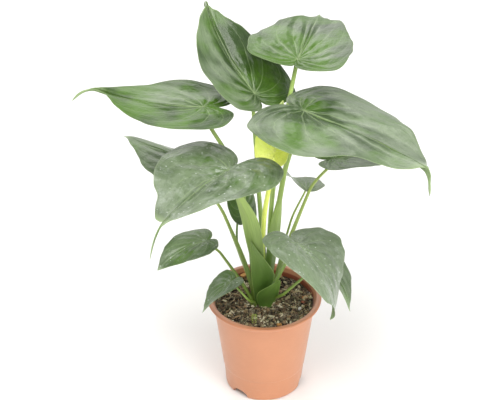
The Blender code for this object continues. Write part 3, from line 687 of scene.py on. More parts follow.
def hermite(x, start, start_rate, end, end_rate):
    """Cubic at the share x of the way from start to end, with the given rates at its ends."""
    return (
        (2 * x ** 3 - 3 * x ** 2 + 1) * start
        + (x ** 3 - 2 * x ** 2 + x) * start_rate
        + (3 * x ** 2 - 2 * x ** 3) * end
        + (x ** 3 - x ** 2) * end_rate
    )


def smooth_curve(points, count, end_points):
    """count points of a curve through the given ones, of which end_points lie past the third last of those.

    Each part is a cubic in centripetal knots, which stand apart by the square root of the distance, and
    its rate at a knot is the slope between the knots before and after.
    """
    knots = np.concatenate([[0.0], np.cumsum(np.linalg.norm(np.diff(points, axis=0), axis=1) ** 0.5)])
    knots /= knots[-1]
    slopes = np.zeros_like(points)
    slopes[1:-1] = (points[2:] - points[:-2]) / (knots[2:] - knots[:-2])[:, None]
    slopes[0] = (points[1] - points[0]) / (knots[1] - knots[0])
    slopes[-1] = (points[-1] - points[-2]) / (knots[-1] - knots[-2])
    start = knots[-3] if end_points else 1.0
    at = np.linspace(0.0, start, count - end_points)
    at = np.concatenate([at, np.linspace(start, 1.0, end_points + 1)[1:]])
    low = np.clip(np.searchsorted(knots, at, side="right") - 1, 0, len(knots) - 2)
    step = (knots[low + 1] - knots[low])[:, None]
    x = (at - knots[low])[:, None] / step
    return hermite(x, points[low], step * slopes[low], points[low + 1], step * slopes[low + 1])


def blade_outline(leaf, count):
    """Flat half outline in millimetres, from the sinus round the lobe to the blade's tip or the drip tip's.

    The part behind the sinus is stretched so that the lobe reaches as far back as the leaf's own does.
    """
    points = np.array(OUTLINE + ((1.0, 0.0),))
    behind = points[:, 0] < -SINUS
    points[behind, 0] += SINUS
    points[behind, 0] *= (leaf["lobe"] - SINUS) / (LOBE_REACH - SINUS)
    points[behind, 0] -= SINUS
    points[:, 0] *= leaf["length"]
    points[:, 1] *= leaf["width"] / 2
    if leaf["tail"]:
        points[-1, 1] = leaf["tail_width"] / 2
        end = [
            (leaf["length"] + 0.6 * leaf["tail"], 0.4 * leaf["tail_width"]),
            (leaf["length"] + leaf["tail"], 0.0),
        ]
        points = np.concatenate([points, end])
    return smooth_curve(points, count, round(TAIL_SHARE * count) if leaf["tail"] else 0)


def blade_margin(leaf, half_count):
    """Whole outline of a blade in millimetres, and the share sigma of the way round at each of its points.

    sigma runs from 0 at the sinus to 1 at the tip on each half. Two sizes of noise move the sides in and
    out by a few hundredths of their distance from the stalk, and leave the lobes and the tip alone.
    """
    half = blade_outline(leaf, half_count)
    rim = np.concatenate([half, half[-2:0:-1] * np.array([1.0, -1.0])])
    sigma = np.linspace(0.0, 1.0, half_count)
    sigma = np.concatenate([sigma, sigma[-2:0:-1]])
    right = np.where(rim[:, 1] < 0, 33.0, 0.0)
    own = np.full_like(sigma, 2.0 * len(leaf["name"]) + 0.5)
    uneven = lattice_noise(sigma * 11.0 + 20.0 + right, own, 9)
    uneven = uneven + 0.6 * lattice_noise(sigma * 25.0 + right, own, 10)
    sides_only = np.clip((sigma - 0.25) / 0.2, 0.0, 1.0) * np.clip((0.9 - sigma) / 0.1, 0.0, 1.0)
    return rim * (1.0 + UNEVEN * uneven * sides_only)[:, None], sigma


def blade_frame(leaf):
    """Unit vectors along the midrib, to its left and out of the upper face, at the stalk."""
    heading, pitch, roll = (math.radians(leaf[k]) for k in ("heading", "pitch", "roll"))
    ahead = np.array([
        math.cos(heading) * math.cos(pitch), math.sin(heading) * math.cos(pitch), math.sin(pitch)])
    level = np.array([-math.sin(heading), math.cos(heading), 0.0])
    raised = np.cross(ahead, level)
    left = level * math.cos(roll) + raised * math.sin(roll)
    up = raised * math.cos(roll) - level * math.sin(roll)
    return ahead, left, up


def blade_points(leaf, along, across, lift):
    """Bend flat places (along, across) of a blade into space, in millimetres.

    Each half is an arc across, from its fold angle at the midrib through its curl.
    The midrib is a curve whose slope falls as the power BEND_POWER of the way along it,
    it sways sideways by the same rule, and the blade twists about it in proportion.
    A drip tip turns down further, as the power TAIL_DROOP_POWER of the way along itself.
    """
    half = leaf["width"] / 2
    w = np.abs(across) / half
    on_left = across > 0
    fold = np.radians(np.where(on_left, leaf["fold"][0], leaf["fold"][1]))
    curl = np.radians(np.where(on_left, leaf["curl"][0], leaf["curl"][1]) + 0.01)
    side = half / curl * (np.sin(fold + curl * w) - np.sin(fold))
    side = np.where(on_left, side, -side)
    rise = half / curl * (np.cos(fold) - np.cos(fold + curl * w)) + lift
    way = np.linspace(-0.6, 1.8, MIDRIB_STEPS)
    ahead_way = np.clip(way, 0.0, WAY_END)
    tail = np.clip((way - 0.96) / (0.04 + leaf["tail"] / leaf["length"]), 0.0, 1.0) ** TAIL_DROOP_POWER
    slope = np.where(
        way > 0,
        -math.radians(leaf["bend"]) * ahead_way ** BEND_POWER,
        math.radians(leaf["lobe_bend"]) * way,
    ) - math.radians(leaf["tail_droop"]) * tail
    yaw = math.radians(leaf["sway"]) * ahead_way ** BEND_POWER
    pace = (way[1] - way[0]) * leaf["length"]

    def total(rate):
        summed = np.concatenate([[0.0], np.cumsum((rate[1:] + rate[:-1]) / 2 * pace)])
        return summed - np.interp(0.0, way, summed)

    t = along / leaf["length"]
    slope_t = np.interp(t, way, slope)
    yaw_t = np.interp(t, way, yaw)
    turn = math.radians(leaf["twist"]) * np.clip(t, -1.0, WAY_END)
    side_t = side * np.cos(turn) - rise * np.sin(turn)
    rise_t = side * np.sin(turn) + rise * np.cos(turn)
    back = -np.sin(slope_t) * rise_t
    x = np.interp(t, way, total(np.cos(slope) * np.cos(yaw))) + back * np.cos(yaw_t) - side_t * np.sin(yaw_t)
    y = np.interp(t, way, total(np.cos(slope) * np.sin(yaw))) + back * np.sin(yaw_t) + side_t * np.cos(yaw_t)
    z = np.interp(t, way, total(np.sin(slope))) + np.cos(slope_t) * rise_t
    ahead, left, up = blade_frame(leaf)
    return np.array(leaf["at"], float) + x[..., None] * ahead + y[..., None] * left + z[..., None] * up


def blade_relief(leaf, rho, sigma, psi, own, along, across):
    """Height of a blade above its smooth bent form, in millimetres: five kinds of relief added together.

    Ripples are a sine of sigma times the fourth power of rho, so they stand at the margin. The quilting is
    1 less a cosine of psi, so the blade rises between its veins. Swells are slow noise over the flat
    blade, puckers are fine noise of psi and rho that fades away from the stalk, and wrinkles that cross
    the veins are the same noise all over. All but the ripples are calm at the stalk and the margin.
    """
    look = bpy.context.scene.alocasia_leaf
    size = leaf["length"] / USUAL_LENGTH
    ripple = leaf["wave"] * np.sin(math.pi * leaf["waves"] * sigma) * rho ** 4
    ripple = ripple * np.clip((sigma - WAVE_START) / (WAVE_FULL - WAVE_START), 0.0, 1.0)
    calm = np.sin(math.pi * np.clip(rho, 0, 1) ** 0.8)
    quilt = look.relief / MM * size * calm * (0.5 - 0.5 * np.cos(2 * math.pi * look.veins * psi))
    quilt = quilt * (0.75 + 0.5 * lattice_noise(psi * 7.0 + 50.0 + own, rho * 3.0 + 30.0, 7))
    if leaf["name"] == "new":
        quilt = 0.4 * quilt
    swell = SWELL * size * calm * lattice_noise(along / 34.0 + 40.3, across / 25.0 + 17.7, len(leaf["name"]))
    pucker = lattice_noise(psi * 22.0 + 80.0 + own, rho * 12.0 + 9.0, 8)
    pucker = PUCKER * size * pucker * calm * np.exp(-(rho / 0.55) ** 2)
    wrinkle = WRINKLE * size * calm * lattice_noise(psi * 17.0 + 60.0 + own, rho * 9.0 + 4.0, 12)
    return ripple + quilt + swell + pucker + wrinkle


def vein_span(along, across, psi):
    """Millimetres across the veins for a change of 1 in psi, kept between 4 and 400.

    It is 1 over the length of psi's slope on the flat blade, which comes from the steps of psi and of
    both flat places over the grid.
    """

    def steps(array):
        return np.gradient(array, axis=0), (np.roll(array, -1, axis=1) - np.roll(array, 1, axis=1)) / 2

    (ui, uj), (vi, vj), (pi, pj) = steps(along), steps(across), steps(psi)
    area = ui * vj - uj * vi
    area = np.where(np.abs(area) < 1e-6, 1e-6, area)
    steep = np.hypot((vj * pi - vi * pj) / area, (ui * pj - uj * pi) / area)
    return np.clip(1.0 / np.maximum(steep, 1e-4), 4.0, 400.0)


def blade_painted_sheen(leaf, rho, along, across):
    """Painted sheen over a blade, a grey-green in place of reflection, from the blade's row of the sheen
    table.

    The halves blend across the midrib by a smooth step. The value near the stalk comes in by a bell curve
    of rho, and the one of the tip by the cube of the way to it.
    """
    left, right, near, far = PAINTED_SHEEN[leaf["name"]]
    halves = np.clip(0.5 + across / (0.30 * leaf["width"]), 0.0, 1.0)
    reach = np.clip(along / leaf["length"], 0.0, 1.0)
    sheen_level = right + (left - right) * halves * halves * (3 - 2 * halves)
    sheen_level = sheen_level + (near - sheen_level) * 0.7 * np.exp(-(rho / 0.3) ** 2)
    return sheen_level + (far - sheen_level) * reach ** 3


def blade_faces(rings, spokes):
    """Faces of a blade: the middle of each face, then both faces' rings and the strip round the margin.

    The upper face's centre and rings come first among the points, and then the lower face's.
    """
    low = 1 + rings * spokes
    first = np.arange(spokes)
    after = np.roll(first, -1)
    rim = 1 + (rings - 1) * spokes
    return [
        np.concatenate([fan(0, 1 + first, turned=True), fan(low, low + 1 + first)]),
        np.concatenate([
            grid_quads(rings, spokes, start=1), grid_quads(rings, spokes, start=low + 1)[:, ::-1],
            np.stack([rim + first, rim + after, low + rim + after, low + rim + first], -1)]),
    ]


def blade_piece(leaf, material):
    """One blade as two faces over a polar grid round the stalk, joined at the margin.

    A place is a share rho of the way out to the outline, at the share sigma of the way from the sinus
    to the tip. Veins are the lines on which psi = 1 - (1 - sigma) / (1 - 0.97 rho squared) to the power
    0.15 is constant, so they leave the stalk in a fan and bend towards the tip, and a little noise moves
    them. The midrib is a groove above and a rib below: a bell curve across, which shrinks to nothing at
    the tip. The blade is thinner towards its margin, and thinnest on it.
    """
    look = bpy.context.scene.alocasia_leaf
    half_count, rings = COARSE_GRID if leaf["length"] < SHORT_BLADE else FINE_GRID
    rim, sigma = blade_margin(leaf, half_count)
    rho = np.linspace(0.0, 1.0, rings + 1)[1:, None] ** 0.92
    along, across = rho * rim[:, 0], rho * rim[:, 1]
    psi = 1.0 - (1.0 - sigma) / (1.0 - VEIN_TURN * rho ** 2) ** VEIN_POWER
    own = np.where(rim[:, 1] < 0, 60.0, 0.0) + 3.0 * len(leaf["name"])
    psi = psi + 0.025 * lattice_noise(psi * 5.0 + 40.0 + own, rho * 2.0 + 20.0, 6)
    lift = blade_relief(leaf, rho, sigma, psi, own, along, across)
    size = leaf["length"] / USUAL_LENGTH
    rib = np.exp(-(across / RIB_WIDTH) ** 2) * np.clip(1.0 - along / leaf["length"], 0.0, 1.0) * (along > 0)
    middle = blade_points(leaf, along, across + 1e-9, lift - RIB_GROOVE * size * rib)

    round_it = np.roll(middle, -1, axis=1) - np.roll(middle, 1, axis=1)
    normal = np.cross(np.gradient(middle, axis=0), round_it)
    normal /= np.linalg.norm(normal, axis=2, keepdims=True) + 1e-12
    up = blade_frame(leaf)[2]
    if (normal[0] @ up).mean() < 0:
        normal = -normal
    normal[0] = up

    full = look.thickness / MM
    thick = full * np.where(rho > 0.995, 0.35, np.clip(1.35 - rho, 0.6, 1.0))[..., None]
    top = middle + normal * thick / 2
    bottom = middle - normal * (thick / 2 + RIB_HEIGHT * size * rib[..., None])
    centre = np.array(leaf["at"], float)
    points = np.concatenate([
        [centre + up * full / 2], top.reshape(-1, 3), [centre - up * full / 2], bottom.reshape(-1, 3)])

    def both(array, at_stalk, below=None):
        """A value for the points of both faces, with its value at the centre and another below if given."""
        flat = np.broadcast_to(array, along.shape).ravel()
        if below is None:
            return np.concatenate([[at_stalk], flat, [at_stalk], flat])
        return np.concatenate([[at_stalk], flat, [below], np.full(flat.shape, below)])

    values = {
        "psi": both(psi, 1.0), "span": both(vein_span(along, across, psi), 4.0), "rho": both(rho, 0.0),
        "across": both(np.where(along > 0, np.abs(across), np.hypot(across, along)), 0.0),
        "tip": both(np.clip((along / leaf["length"] - 0.88) / 0.15, 0.0, 1.0), 0.0),
        "under": both(0.0, 0.0, 1.0),
        # How much painted sheen, grey-green in place of reflection, lies at each point
        "painted_sheen": both(blade_painted_sheen(leaf, rho, along, across), PAINTED_SHEEN[leaf["name"]][2]),
    }
    node = "blade_" + leaf["name"]
    faces = blade_faces(rings, len(rim))
    return add_piece("leaf_" + leaf["name"], points * MM, faces, material, [node], values)


def stalk_route(leaf, count):
    """Centre line of a stalk in millimetres: upright from the crown, through its via point, to the blade.

    It is two cubics, whose rates are in proportion to the straight distances that they cover.
    """
    ahead, _, up = blade_frame(leaf)
    meet = math.radians(leaf["meet"])
    into = math.cos(meet) * up + math.sin(meet) * ahead
    foot = np.array([leaf["foot"][0], leaf["foot"][1], CROWN_TOP])
    via = np.array(leaf["via"], float)
    end = np.array(leaf["at"], float) - 0.5 * up
    lower = np.linalg.norm(via - foot)
    upper = np.linalg.norm(end - via)
    through = (end - foot) / np.linalg.norm(end - foot)
    x = np.linspace(0.0, 1.0, count // 2 + 1)[:, None]
    first = hermite(x, foot, np.array([0.0, 0.0, leaf["rise"] * lower]), via, through * lower)
    second = hermite(x, via, through * upper, end, into * leaf["reach"] * upper)
    return np.concatenate([first, second[1:]])


def sheath_widths(leaf, height):
    """How far the attached sheaths stand out on the left and right, at heights above the crown.

    A sheath's width rises by a sine to its peak and falls by a cosine to its end.
    """
    left = np.zeros_like(height)
    right = np.zeros_like(height)
    for left_most, right_most, start, peak, end in leaf["sheaths"][:ATTACHED_SHEATHS.get(leaf["name"])]:
        rising = np.sin(math.pi / 2 * np.clip((height - start) / (peak - start), 0.0, 1.0))
        falling = np.cos(math.pi / 2 * np.clip((height - peak) / (end - peak), 0.0, 1.0))
        share = np.where(height < peak, rising, falling)
        left = np.maximum(left, left_most * share)
        right = np.maximum(right, right_most * share)
    return left, right


def stalk_axes(leaf, route):
    """Unit vectors to the right and outwards at each point of a stalk, square to its centre line."""
    forward = np.gradient(route, axis=0)
    forward /= np.linalg.norm(forward, axis=1, keepdims=True)
    facing = math.radians(leaf["facing"])
    out = np.array([math.cos(facing), math.sin(facing), 0.0])
    out = out - (forward @ out)[:, None] * forward
    out /= np.linalg.norm(out, axis=1, keepdims=True)
    return np.cross(forward, out), out


def stalk_tube(leaf, steps=96, sides=40):
    """Points, faces and values of a stalk with the sheath that is one with it.

    The section is a disc whose sides are drawn out into thin wings. Across a wing its half depth falls by
    a bell curve from the core's radius to 0.4 mm and is round at the edge, and what is past the disc
    bends back by the square of its distance past over twice the bend's radius. A stalk is thicker just
    above the crown and just below its blade.
    """
    route = stalk_route(leaf, steps)
    run = np.concatenate([[0.0], np.cumsum(np.linalg.norm(np.diff(route, axis=0), axis=1))])
    s = run / run[-1]
    side, out = stalk_axes(leaf, route)
    height = route[:, 2] - CROWN_TOP
    radius = leaf["foot_radius"] + (leaf["top_radius"] - leaf["foot_radius"]) * s ** STALK_TAPER
    radius = radius * (1 + 0.25 * np.clip((s - 0.985) / 0.015, 0, 1) + 0.35 * np.exp(-height / 8.0))
    left, right = sheath_widths(leaf, height)
    wing = np.maximum(left, right)
    core = np.maximum(radius - SHEATH_THINNING * wing, np.minimum(radius, SHEATH_THICKNESS / 2))[:, None]
    turn = np.linspace(0.0, 2 * math.pi, sides, endpoint=False)[None, :]
    stand = np.where(np.cos(turn) > 0, right[:, None], left[:, None])
    q = (radius[:, None] + stand) * np.cos(turn)
    share = np.clip(wing / radius, 0.0, 1.0)[:, None]
    lens = (0.4 + (core - 0.4) * np.exp(-(q / (1.15 * radius[:, None])) ** 2)) * np.abs(np.sin(turn)) ** 0.35
    depth = ((1 - share) * core * np.abs(np.sin(turn)) + share * lens) * np.sign(np.sin(turn))
    past = np.maximum(np.abs(q) - radius[:, None], 0.0)
    depth = depth - past ** 2 / (2 * SHEATH_ROUND)
    points = route[:, None] + q[..., None] * side[:, None] + depth[..., None] * out[:, None]
    edge = share * np.clip((np.abs(np.cos(turn)) - 0.95) / 0.05, 0, 1)
    values = {
        "along": np.concatenate([np.repeat(height, sides), [0.0, height[-1]]]),
        "round": np.concatenate([np.broadcast_to(turn, q.shape).ravel(), [0.0, 0.0]]),
        "thin": np.concatenate([edge.ravel(), [0.0, 0.0]]),
    }
    ends = [route[:1], route[-1:]]
    return np.concatenate([points.reshape(-1, 3), *ends]), capped_grid(len(route), sides, turned=True), values


def loose_sheath(leaf, start):
    """Points, faces and values of a sheath that lies round the front of a stalk and ends in a free point.

    It is a sheet between a left and a right edge given at some heights. At q across the stalk it lies
    the radius of the stalk's foot and 0.7 mm further out, less the square of what q is past 2 mm over 1.8
    times the bend's radius. Its thickness falls from 1.1 mm in the middle to 0.35 mm at its edges, or from
    less where it is narrow, and a low crease left of its middle grows towards the point.
    """
    rows = np.array(LOOSE_SHEATHS[leaf["name"]], float)
    route = stalk_route(leaf, 240)
    steps, sides = 70, 48
    level = np.linspace(0.0, 1.0, steps) ** 0.9 * rows[-1, 0]
    soft = smooth_curve(rows, 400, 0)
    left = np.interp(level, soft[:, 0], soft[:, 1])[:, None]
    right = np.interp(level, soft[:, 0], soft[:, 2])[:, None]
    rise = route[:, 2] - CROWN_TOP
    centre, side, out = (
        np.stack([np.interp(level, rise, array[:, k]) for k in range(3)], -1)
        for array in (route, *stalk_axes(leaf, route)))
    w = np.cos(np.linspace(math.pi, 0.0, sides))[None, :]
    q = (left + right) / 2 + (right - left) / 2 * w
    thick = np.minimum(0.35 + 0.75 * (1 - w ** 2), 0.3 + 0.2 * (right - left))
    crease = 0.5 * np.exp(-((w + 0.1) / 0.16) ** 2) * (level[:, None] / rows[-1, 0])
    bent = np.maximum(np.abs(q) - 2.0, 0.0) ** 2 / (2 * 0.9 * SHEATH_ROUND)
    lies = leaf["foot_radius"] + 0.7 + crease - bent
    front, back = (
        centre[:, None] + q[..., None] * side[:, None] + depth[..., None] * out[:, None]
        for depth in (lies + thick / 2, lies - thick / 2))
    points = np.concatenate([front, back[:, ::-1]], axis=1)
    columns = 2 * sides
    height = np.repeat(level, columns)
    margin = np.clip((np.abs(w) - 0.93) / 0.07, 0, 1) * np.ones((steps, 1))
    values = {
        "along": np.concatenate([0.75 * height, [0.0, height[-1]]]),
        "round": np.concatenate([np.tile(np.linspace(0, 2, columns), steps), [0.0, 0.0]]),
        "thin": np.concatenate([np.concatenate([margin, margin[:, ::-1]], 1).ravel(), [0.0, 0.0]]),
    }
    ends = [points[0].mean(0), points[-1].mean(0)]
    return np.concatenate([points.reshape(-1, 3), ends]), capped_grid(steps, columns, start), values


def stalk_piece(leaf, material):
    """One stalk with its sheaths."""
    points, faces, values = stalk_tube(leaf)
    if leaf["name"] in LOOSE_SHEATHS:
        more_points, more_faces, more = loose_sheath(leaf, len(points))
        points = np.concatenate([points, more_points])
        faces = faces + more_faces
        values = {key: np.concatenate([array, more[key]]) for key, array in values.items()}
    node = "stalk_" + leaf["name"]
    return add_piece("petiole_" + leaf["name"], points * MM, faces, material, [node], values)


def pot_inner_profile():
    """Inner face of the pot as (radius, height) in millimetres, from the floor's centre up to the lip.

    Both walls are straight: the foot's up to the step, and the side's from there to the lip.
    """
    wall = bpy.context.scene.alocasia_pot.wall / MM
    foot_slope = (FOOT_TOP_RADIUS - FOOT_RADIUS) / (STEP_HEIGHT - FOOT_ROUND)
    floor = CHANNEL_HEIGHT + wall
    return [
        (0.0, wall), (DISC_RADIUS - wall, wall), (DISC_RADIUS - wall, floor),
        (FOOT_RADIUS + foot_slope * (floor - FOOT_ROUND) - wall, floor),
        (FOOT_TOP_RADIUS - wall, STEP_HEIGHT), (LIP_RADIUS - wall - SIDE_SLOPE, LIP_HEIGHT - 1.0)]


def pot_profile():
    """Section of the pot: inner face up, over the rolled rim, outer face down and under the floor.

    The rim is a half circle and the foot's edge a quarter circle. The rest are straight parts.
    """
    pot = bpy.context.scene.alocasia_pot
    height, rim, wall = pot.height / MM, pot.rim_radius / MM, pot.wall / MM
    lip = rim - RIM_WIDTH
    rolled = [
        (rim - RIM_ROUND + RIM_ROUND * math.sin(a), height - RIM_ROUND + RIM_ROUND * math.cos(a))
        for a in np.linspace(0, math.pi, 13)]
    edge = [
        (FOOT_RADIUS - FOOT_ROUND + FOOT_ROUND * math.cos(a), FOOT_ROUND - FOOT_ROUND * math.sin(a))
        for a in np.linspace(0, math.pi / 2, 9)]
    return [
        *pot_inner_profile(),
        (lip - 1.6, height - 4.0), (lip - 0.1, height - 1.2), (lip + 0.5, height - 0.3), (lip + 1.6, height),
        *rolled,
        (lip + 2.4, height - 4.9), (LIP_RADIUS + 1.2, LIP_HEIGHT + 0.6), (LIP_RADIUS + 0.3, LIP_HEIGHT - 0.6),
        (LIP_RADIUS, LIP_HEIGHT - 3.0),
        (STEP_RADIUS, STEP_HEIGHT + 1.0), (STEP_RADIUS - 0.2, STEP_HEIGHT + 0.5),
        (FOOT_TOP_RADIUS + 0.1, STEP_HEIGHT + 0.1), (FOOT_TOP_RADIUS, STEP_HEIGHT - 0.4),
        (FOOT_RADIUS + 0.864, 18.0),
        *edge,
        (FOOT_RADIUS - FOOT_ROUND - 1.2, 0.0), (FOOT_RADIUS - wall - 1.2, 3.5),
        (FOOT_RADIUS - wall, CHANNEL_HEIGHT),
        (DISC_RADIUS, CHANNEL_HEIGHT), (DISC_RADIUS, 0.0), (0.0, 0.0)]


def finer(profile, step):
    """The same profile with its straight parts divided so that each is about one step long or shorter."""
    made = [profile[0]]
    for a, b in zip(profile[:-1], profile[1:]):
        parts = max(1, round(math.dist(a, b) / step))
        for k in range(1, parts + 1):
            made.append((a[0] + (b[0] - a[0]) * k / parts, a[1] + (b[1] - a[1]) * k / parts))
    return np.array(made)


def turned_grid(profile, turns):
    """Points of a profile of (radius, height) turned round Z at the given angles, in rows of one height."""
    r, z = profile[:, 0], profile[:, 1]
    x = r[:, None] * np.cos(turns)[None, :]
    y = r[:, None] * np.sin(turns)[None, :]
    return np.stack([x, y, np.broadcast_to(z[:, None], x.shape)], -1)


def cut_drain_holes(piece):
    """Cut the drain holes with upright cylinders, and dissolve the edges of no length that they leave."""
    turns = np.linspace(0, 2 * math.pi, DRAIN_SIDES, endpoint=False)
    tube = turned_grid(np.array([(DRAIN_RADIUS, z) for z in DRAIN_CUT]), turns).reshape(-1, 3)
    tube = np.concatenate([tube, [(0.0, 0.0, z) for z in DRAIN_CUT]])
    faces = [tuple(face) for part in capped_grid(2, DRAIN_SIDES) for face in part]
    for number in range(DRAIN_HOLES):
        angle = 2 * math.pi * (number + 0.5) / DRAIN_HOLES
        middle = np.array([DRAIN_CIRCLE * math.cos(angle), DRAIN_CIRCLE * math.sin(angle), 0.0])
        cutter = bpy.data.meshes.new("drain")
        cutter.from_pydata(((tube + middle) * MM).tolist(), [], faces)
        tool = bpy.data.objects.new("drain", cutter)
        bpy.context.scene.collection.objects.link(tool)
        cut = piece.modifiers.new("Drain", "BOOLEAN")
        cut.object = tool
        cut.solver = "EXACT"
        bpy.context.view_layer.update()
        graph = bpy.context.evaluated_depsgraph_get()
        piece.data = bpy.data.meshes.new_from_object(piece.evaluated_get(graph))
        piece.modifiers.clear()
        bpy.data.objects.remove(tool)
        bpy.data.meshes.remove(cutter)
    welded = bmesh.new()
    welded.from_mesh(piece.data)
    bmesh.ops.dissolve_degenerate(welded, dist=NO_LENGTH, edges=welded.edges)
    welded.to_mesh(piece.data)
    welded.free()


def pot_piece(material):
    """Pot: its section turned round Z, with three arches in the foot and a ring of drain holes.

    An arch is made by squeezing the foot's heights towards the top of the foot: under an arch of height
    h at that angle, a height z below the top t becomes t - (t - z) (t - h) / t. Round the pot, h follows
    half an ellipse.
    """
    pot = bpy.context.scene.alocasia_pot
    profile = finer(pot_profile(), 3.0)[1:-1]
    turns = np.linspace(0, 2 * math.pi, pot.sides, endpoint=False)
    grid = turned_grid(profile, turns)
    arch = np.zeros_like(turns)
    for degrees in NOTCH_ANGLES:
        apart = (turns - math.radians(degrees) + math.pi) % (2 * math.pi) - math.pi
        low = np.clip(1.0 - (apart / ARCH_HALF_ANGLE) ** 2, 0.0, 1.0)
        arch = np.maximum(arch, ARCH_HEIGHT * np.sqrt(low))
    r, z = profile[:, 0], profile[:, 1]
    rows = np.arange(len(profile))
    outer = (rows > np.argmax(z)) & (r > 50.0)
    inner = outer & (r < 57.0) & (z > 0.1) & (rows > np.argmax(outer & (z < 0.01)))
    top = np.where(inner, CHANNEL_HEIGHT, ARCH_REACH)[:, None]
    squeezed = top - (top - z[:, None]) * (top - arch) / top
    grid[..., 2] = np.where(outer[:, None] & (z[:, None] < top), squeezed, grid[..., 2])
    points = np.concatenate([grid.reshape(-1, 3), [(0.0, 0.0, pot.wall / MM), (0.0, 0.0, 0.0)]]) * MM
    faces = capped_grid(len(profile), pot.sides, turned=True)
    piece = add_piece("pot_shell", points, faces, material, ["pot"])
    cut_drain_holes(piece)
    return piece


def pot_material():
    """Moulded terracotta plastic: satin, a little cloudy, painted shade inside, faintly rubbed, dusty low
    down.

    Inside is where the radius is less than the side wall's at that height, and a dark red is painted there
    for the shade in the pot. The top of the rim is painted a darker red too: painted shade.
    """
    pot = bpy.context.scene.alocasia_pot
    r = Recipe("terracotta plastic")
    where = r.place()
    x, y, z = r.node("ShaderNodeSeparateXYZ", {"Vector": where}).outputs
    radius = r.math("SQRT", r.math("ADD", r.math("POWER", x, 2.0), r.math("POWER", y, 2.0)))
    wall = r.math("MULTIPLY_ADD", z, SIDE_SLOPE, (LIP_RADIUS - LIP_HEIGHT * SIDE_SLOPE) * MM)
    # Painted shade: the inner wall, where the radius is less than the side wall's, is painted dark red
    painted_shade_inside = r.step(r.math("SUBTRACT", wall, radius), 0.0008, 0.0016)
    painted_shade_inside = r.times(painted_shade_inside, r.step(z, 0.150, 0.1535, 1.0, 0.0))
    painted_shade_inside = r.times(painted_shade_inside, r.step(z, 0.016, 0.018))
    base = tuple(pot.colour)
    colour = r.mix(r.step(r.noise(where, 14.0, 4.0, 0.6), 0.3, 0.7), base, tuple(1.07 * c for c in base))
    # Painted shade: the top of the rim is painted a darker red
    colour = r.mix(r.times(r.step(z, 0.1525, 0.1545), 0.35), colour, (0.46, 0.150, 0.072))
    colour = r.mix(r.times(painted_shade_inside, 0.9), colour, (0.27, 0.052, 0.020))
    rubs = r.step(r.noise(r.scaled(where, (60.0, 60.0, 900.0)), 1.0, 3.0), 0.62, 0.80)
    colour = r.mix(r.times(rubs, 0.08), colour, (0.86, 0.62, 0.46))
    dust = r.times(r.step(r.noise(where, 260.0, 3.0), 0.58, 0.75), r.step(z, 0.0, 0.05, 0.22, 0.04))
    colour = r.mix(dust, colour, (0.55, 0.42, 0.33))
    rough = r.math("MULTIPLY_ADD", r.noise(where, 90.0, 3.0), 0.16, pot.roughness - 0.08)
    fine = r.bump(r.noise(where, 2600.0, 1.0), 0.00006, 0.5)
    normal = r.bump(r.noise(where, 22.0, 2.0), 0.0006, 0.35, fine)
    return r.finish(colour, rough, normal, Specular_IOR_Level=0.7, Sheen_Weight=0.2, Sheen_Roughness=0.35)


def soil_height(x, y):
    """Low humps of the soil in millimetres, as in the solid, from sines of the place in metres."""
    return 1.6 * (
        0.6 * np.sin(x * 110.0 + 0.6) * np.cos(y * 95.0 - 0.4)
        + 0.4 * np.sin(x * 230.0 - y * 180.0 + 1.1)
    )


def crumb_height(x, y):
    """Soil's height above its mean in millimetres: low humps, three sizes of crumbs and a rise at the stems.

    x and y are in millimetres. The two larger sizes are the size of noise to the power 0.6, so hollows
    are narrow and tops are round. The rise is a bell curve round the crown.
    """
    relief = bpy.context.scene.alocasia_soil.relief / MM
    humps = soil_height(x * MM, y * MM)
    large = np.abs(lattice_noise(x / 8.5 + 60, y / 8.5 + 60, 3)) ** 0.6
    middle = np.abs(lattice_noise(x / 3.2 + 90, y / 3.2 + 90, 4)) ** 0.6
    small = lattice_noise(x / 1.3 + 130, y / 1.3 + 130, 5)
    near = np.exp(-((x - CROWN_MIDDLE[0]) ** 2 + (y - CROWN_MIDDLE[1]) ** 2) / 26.0 ** 2)
    return humps + relief * (0.9 * large + 0.55 * middle + 0.22 * small - 0.75) + near


def soil_piece(material):
    """Bed of soil: a fine polar grid raised by crumb_height, closed below by the pot's inner section.

    The relief falls to 0.4 of its height over the last 6 mm to the pot.
    """
    profile = [(r - SOIL_GAP if r else 0.0, z + SOIL_GAP) for r, z in pot_inner_profile()]
    low, high = profile[-2], profile[-1]
    part = (SOIL_TOP - low[1]) / (high[1] - low[1])
    edge = low[0] + part * (high[0] - low[0])
    sides, rings = 400, 150
    turns = np.linspace(0, 2 * math.pi, sides, endpoint=False)
    radii = edge * np.linspace(1.0, 0.0, rings + 1)[:-1, None]
    x, y = radii * np.cos(turns), radii * np.sin(turns)
    crumbs = crumb_height(x, y)
    free = np.clip((edge - radii) / 6.0, 0.0, 1.0)
    top = np.stack([x, y, SOIL_TOP + free * crumbs + (1 - free) * 0.4 * crumbs], -1)
    grid = np.concatenate([turned_grid(np.array(profile[1:-1]), turns), top])
    crest = SOIL_TOP + float(crumb_height(np.array(0.0), np.array(0.0)))
    points = np.concatenate([grid.reshape(-1, 3), [(0.0, 0.0, profile[0][1]), (0.0, 0.0, crest)]]) * MM
    return add_piece("soil_bed", points, capped_grid(len(grid), sides), material, ["soil"])


